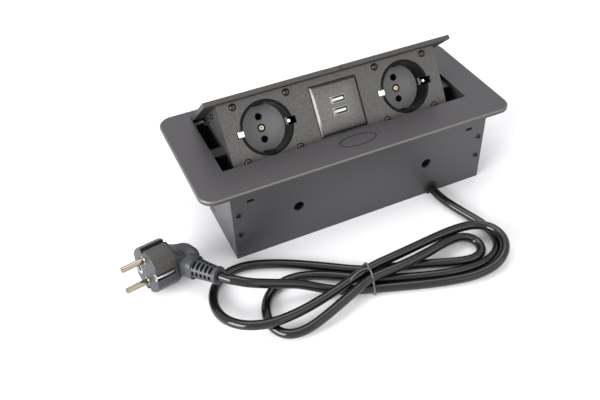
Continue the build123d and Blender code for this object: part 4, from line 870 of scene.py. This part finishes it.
def makeUsbCover(setup):
    ports, front = setup["ports"], setup["front"]
    centre = (setup["x"], setup["y"])
    columns = [centre[0] - front]
    columns += [ports["x"] - ports["width"] / 2, ports["x"] + ports["width"] / 2, centre[0] + front]
    rows = [centre[1] - front]
    for level in ports["levels"]:
        rows += [level - ports["height"] / 2, level + ports["height"] / 2]
    rows.append(centre[1] + front)
    shape = bmesh.new()
    bmesh.ops.create_grid(shape, x_segments=len(columns) - 1, y_segments=len(rows) - 1, size=1)
    for corner in shape.verts:
        column = round((corner.co.x + 1) / 2 * (len(columns) - 1))
        row = round((corner.co.y + 1) / 2 * (len(rows) - 1))
        corner.co = (columns[column], rows[row], setup["proud"])
    middles = [Vector((ports["x"], level)) for level in ports["levels"]]
    mouths = [
        face for face in shape.faces
        if any((face.calc_center_median().xy - middle).length < 1 for middle in middles)
    ]
    bmesh.ops.delete(shape, geom=mouths, context="FACES_ONLY")

    def isAt(place, axis, reach):
        return abs(abs(place[axis] - centre[axis]) - reach) < setup["near"]

    def isOutside(edge):
        return all(isAt(corner.co, 0, front) or isAt(corner.co, 1, front) for corner in edge.verts)

    def grow(edges):
        grown = bmesh.ops.extrude_edge_only(shape, edges=edges)["geom"]
        corners = [part for part in grown if isinstance(part, bmesh.types.BMVert)]
        return corners, [part for part in grown if isinstance(part, bmesh.types.BMEdge)]

    outside = [edge for edge in shape.edges if edge.is_boundary and isOutside(edge)]
    mouthEdges = [edge for edge in shape.edges if edge.is_boundary and not isOutside(edge)]
    for corner in grow(mouthEdges)[0]:
        corner.co.z = setup["back"]
    reach = front
    for nextReach, z in setup["rings"]:
        corners, outside = grow(outside)
        for corner in corners:
            for axis in (0, 1):
                if isAt(corner.co, axis, reach):
                    off = corner.co[axis] - centre[axis]
                    corner.co[axis] = centre[axis] + math.copysign(nextReach, off)
            corner.co.z = z
        reach = nextReach
    # the back, with the ports' passages open through it
    bmesh.ops.triangle_fill(shape, use_beauty=True, edges=[edge for edge in shape.edges if edge.is_boundary])
    return makePiece("usbCover", shape, facePlace, setup)


makeUsbCover(usbCover)
print("usb cover made")

pieceFinish = {
    "powderCoat": [
        "housing_tray", "end_wall_left", "end_wall_right", "module_end_left", "module_end_right",
        "module_back",
    ],
    "anodisedFlange": ["flange_plate"],
    "blastedFace": ["face_plate"],
    "shadedLidSpray": ["lid_plate"],
    "glossPolycarbonate": ["socket_cup_left", "socket_cup_right"],
    "mouldedNylon": [
        "socket_base_left", "socket_base_right", "usb_housing", "catch_case", "cord_clamp", "cable_grommet",
    ],
    "whiteNylon": ["usb_tongues"],
    "cordPvc": ["inner_lead"],
    "nickelPlate": ["catch_magnets"],
    "shellSteel": ["usb_shells"],
    "shadedBrass": ["contacts_left", "contacts_right"],
    "zincPlate": [
        "hinge_pins", "catch_keeper", "catch_screws", "clamp_screws", "bracket_screws", "earth_stud",
        "flange_screws",
    ],
    "blackOxide": [
        "hinge_bracket_left", "hinge_bracket_right", "wall_screws", "module_screws", "hinge_rings",
    ],
    "springWire": ["spring_left", "spring_right"],
    "solderMask": ["usb_board"],
    "brownPvc": ["wire_live"],
    "bluePvc": ["wire_neutral"],
    "earthPvc": ["wire_earth", "earth_wire"],
}


def dress(piece, material):
    piece.data.materials.clear()
    piece.data.materials.append(material)


for name, members in pieceFinish.items():
    for member in members:
        dress(nodes[member], materials[name])
dress(mainsCord, materials["cordPvc"])
print("pieces dressed")

# Floor, lights and backdrop, in metres and watts
stage = {
    "size": 24.0, "floor": {"colour": "#f4f4f6", "Roughness": 0.8},
    # distances from the origin over which the floor turns into the backdrop
    "fadeFrom": 0.55, "fadeTo": 1.1,
    "lights": [
        # name, place, aim, size, power
        ("leftSoftbox", (-1.15, -0.38, 0.4), (0.0, 0.0, 0.03), (0.9, 0.7), 25.0),
        ("topSoftbox", (0.0, 0.3, 1.3), (0.0, -0.02, 0.03), (1.2, 0.7), 6.0),
        ("frontFill", (0.48, -1.0, 0.7), (0.0, -0.05, 0.05), (1.0, 0.7), 2.5),
    ],
    "backdrop": "#ffffff", "backdropLevel": 1.0, "worldLevel": 0.8,
}


def seenDirectly(tree):
    # 1 for what the camera, a mirror or a clear body sees, 0 for the light that reaches the object
    path = addNode(tree, "ShaderNodeLightPath")
    mirrored = addMath(tree, "MAXIMUM", path.outputs["Is Camera Ray"], path.outputs["Is Glossy Ray"])
    return addMath(tree, "MAXIMUM", mirrored, path.outputs["Is Transmission Ray"])


def makeFloor(setup):
    mesh = bpy.data.meshes.new("floor")
    shape = bmesh.new()
    bmesh.ops.create_grid(shape, x_segments=1, y_segments=1, size=setup["size"] / 2)
    shape.to_mesh(mesh)
    shape.free()
    floor = bpy.data.objects.new("floor", mesh)
    bpy.context.scene.collection.objects.link(floor)
    material, tree, shader = startMaterial("paperFloor", setup["floor"])
    # paper near the object takes its shadow, further out it is seen as the white backdrop but gives no
    # light of its own
    place = addNode(tree, "ShaderNodeTexCoord")
    away = addNode(tree, "ShaderNodeVectorMath", {"operation": "LENGTH"}, {0: place.outputs["Object"]})
    fade = addNode(
        tree, "ShaderNodeMapRange",
        {"interpolation_type": "SMOOTHSTEP", 1: setup["fadeFrom"], 2: setup["fadeTo"]},
        {0: away.outputs["Value"]},
    )
    share = addMath(tree, "MULTIPLY", fade.outputs[0], seenDirectly(tree))
    glow = addNode(
        tree, "ShaderNodeEmission",
        {"Color": hexColour(setup["backdrop"]), "Strength": setup["backdropLevel"]},
    )
    blend = addNode(
        tree, "ShaderNodeMixShader", None,
        {0: share, 1: shader.outputs["BSDF"], 2: glow.outputs["Emission"]},
    )
    tree.links.new(blend.outputs["Shader"], tree.nodes["Material Output"].inputs["Surface"])
    mesh.materials.append(material)


def makeLights(setup):
    for name, place, aim, size, power in setup["lights"]:
        data = bpy.data.lights.new(name, "AREA")
        data.shape = "RECTANGLE"
        data.size, data.size_y = size
        data.energy = power
        light = bpy.data.objects.new(name, data)
        light.location = place
        light.rotation_euler = (Vector(aim) - Vector(place)).to_track_quat("-Z", "Y").to_euler()
        bpy.context.scene.collection.objects.link(light)


def makeWorld(setup):
    world = bpy.data.worlds.new("studio")
    bpy.context.scene.world = world
    world.use_nodes = True
    tree = world.node_tree
    back = tree.nodes["Background"]
    back.inputs["Color"].default_value = hexColour(setup["backdrop"])
    # white where it is seen, mirrored or shines through, a plain level for the light it gives
    level = addNode(
        tree, "ShaderNodeMix", {"data_type": "FLOAT", 2: setup["worldLevel"], 3: setup["backdropLevel"]},
        {0: seenDirectly(tree)},
    )
    tree.links.new(level.outputs[0], back.inputs["Strength"])


makeFloor(stage)
makeLights(stage)
makeWorld(stage)
bpy.context.scene.view_settings.view_transform = "Standard"
print("stage lit")
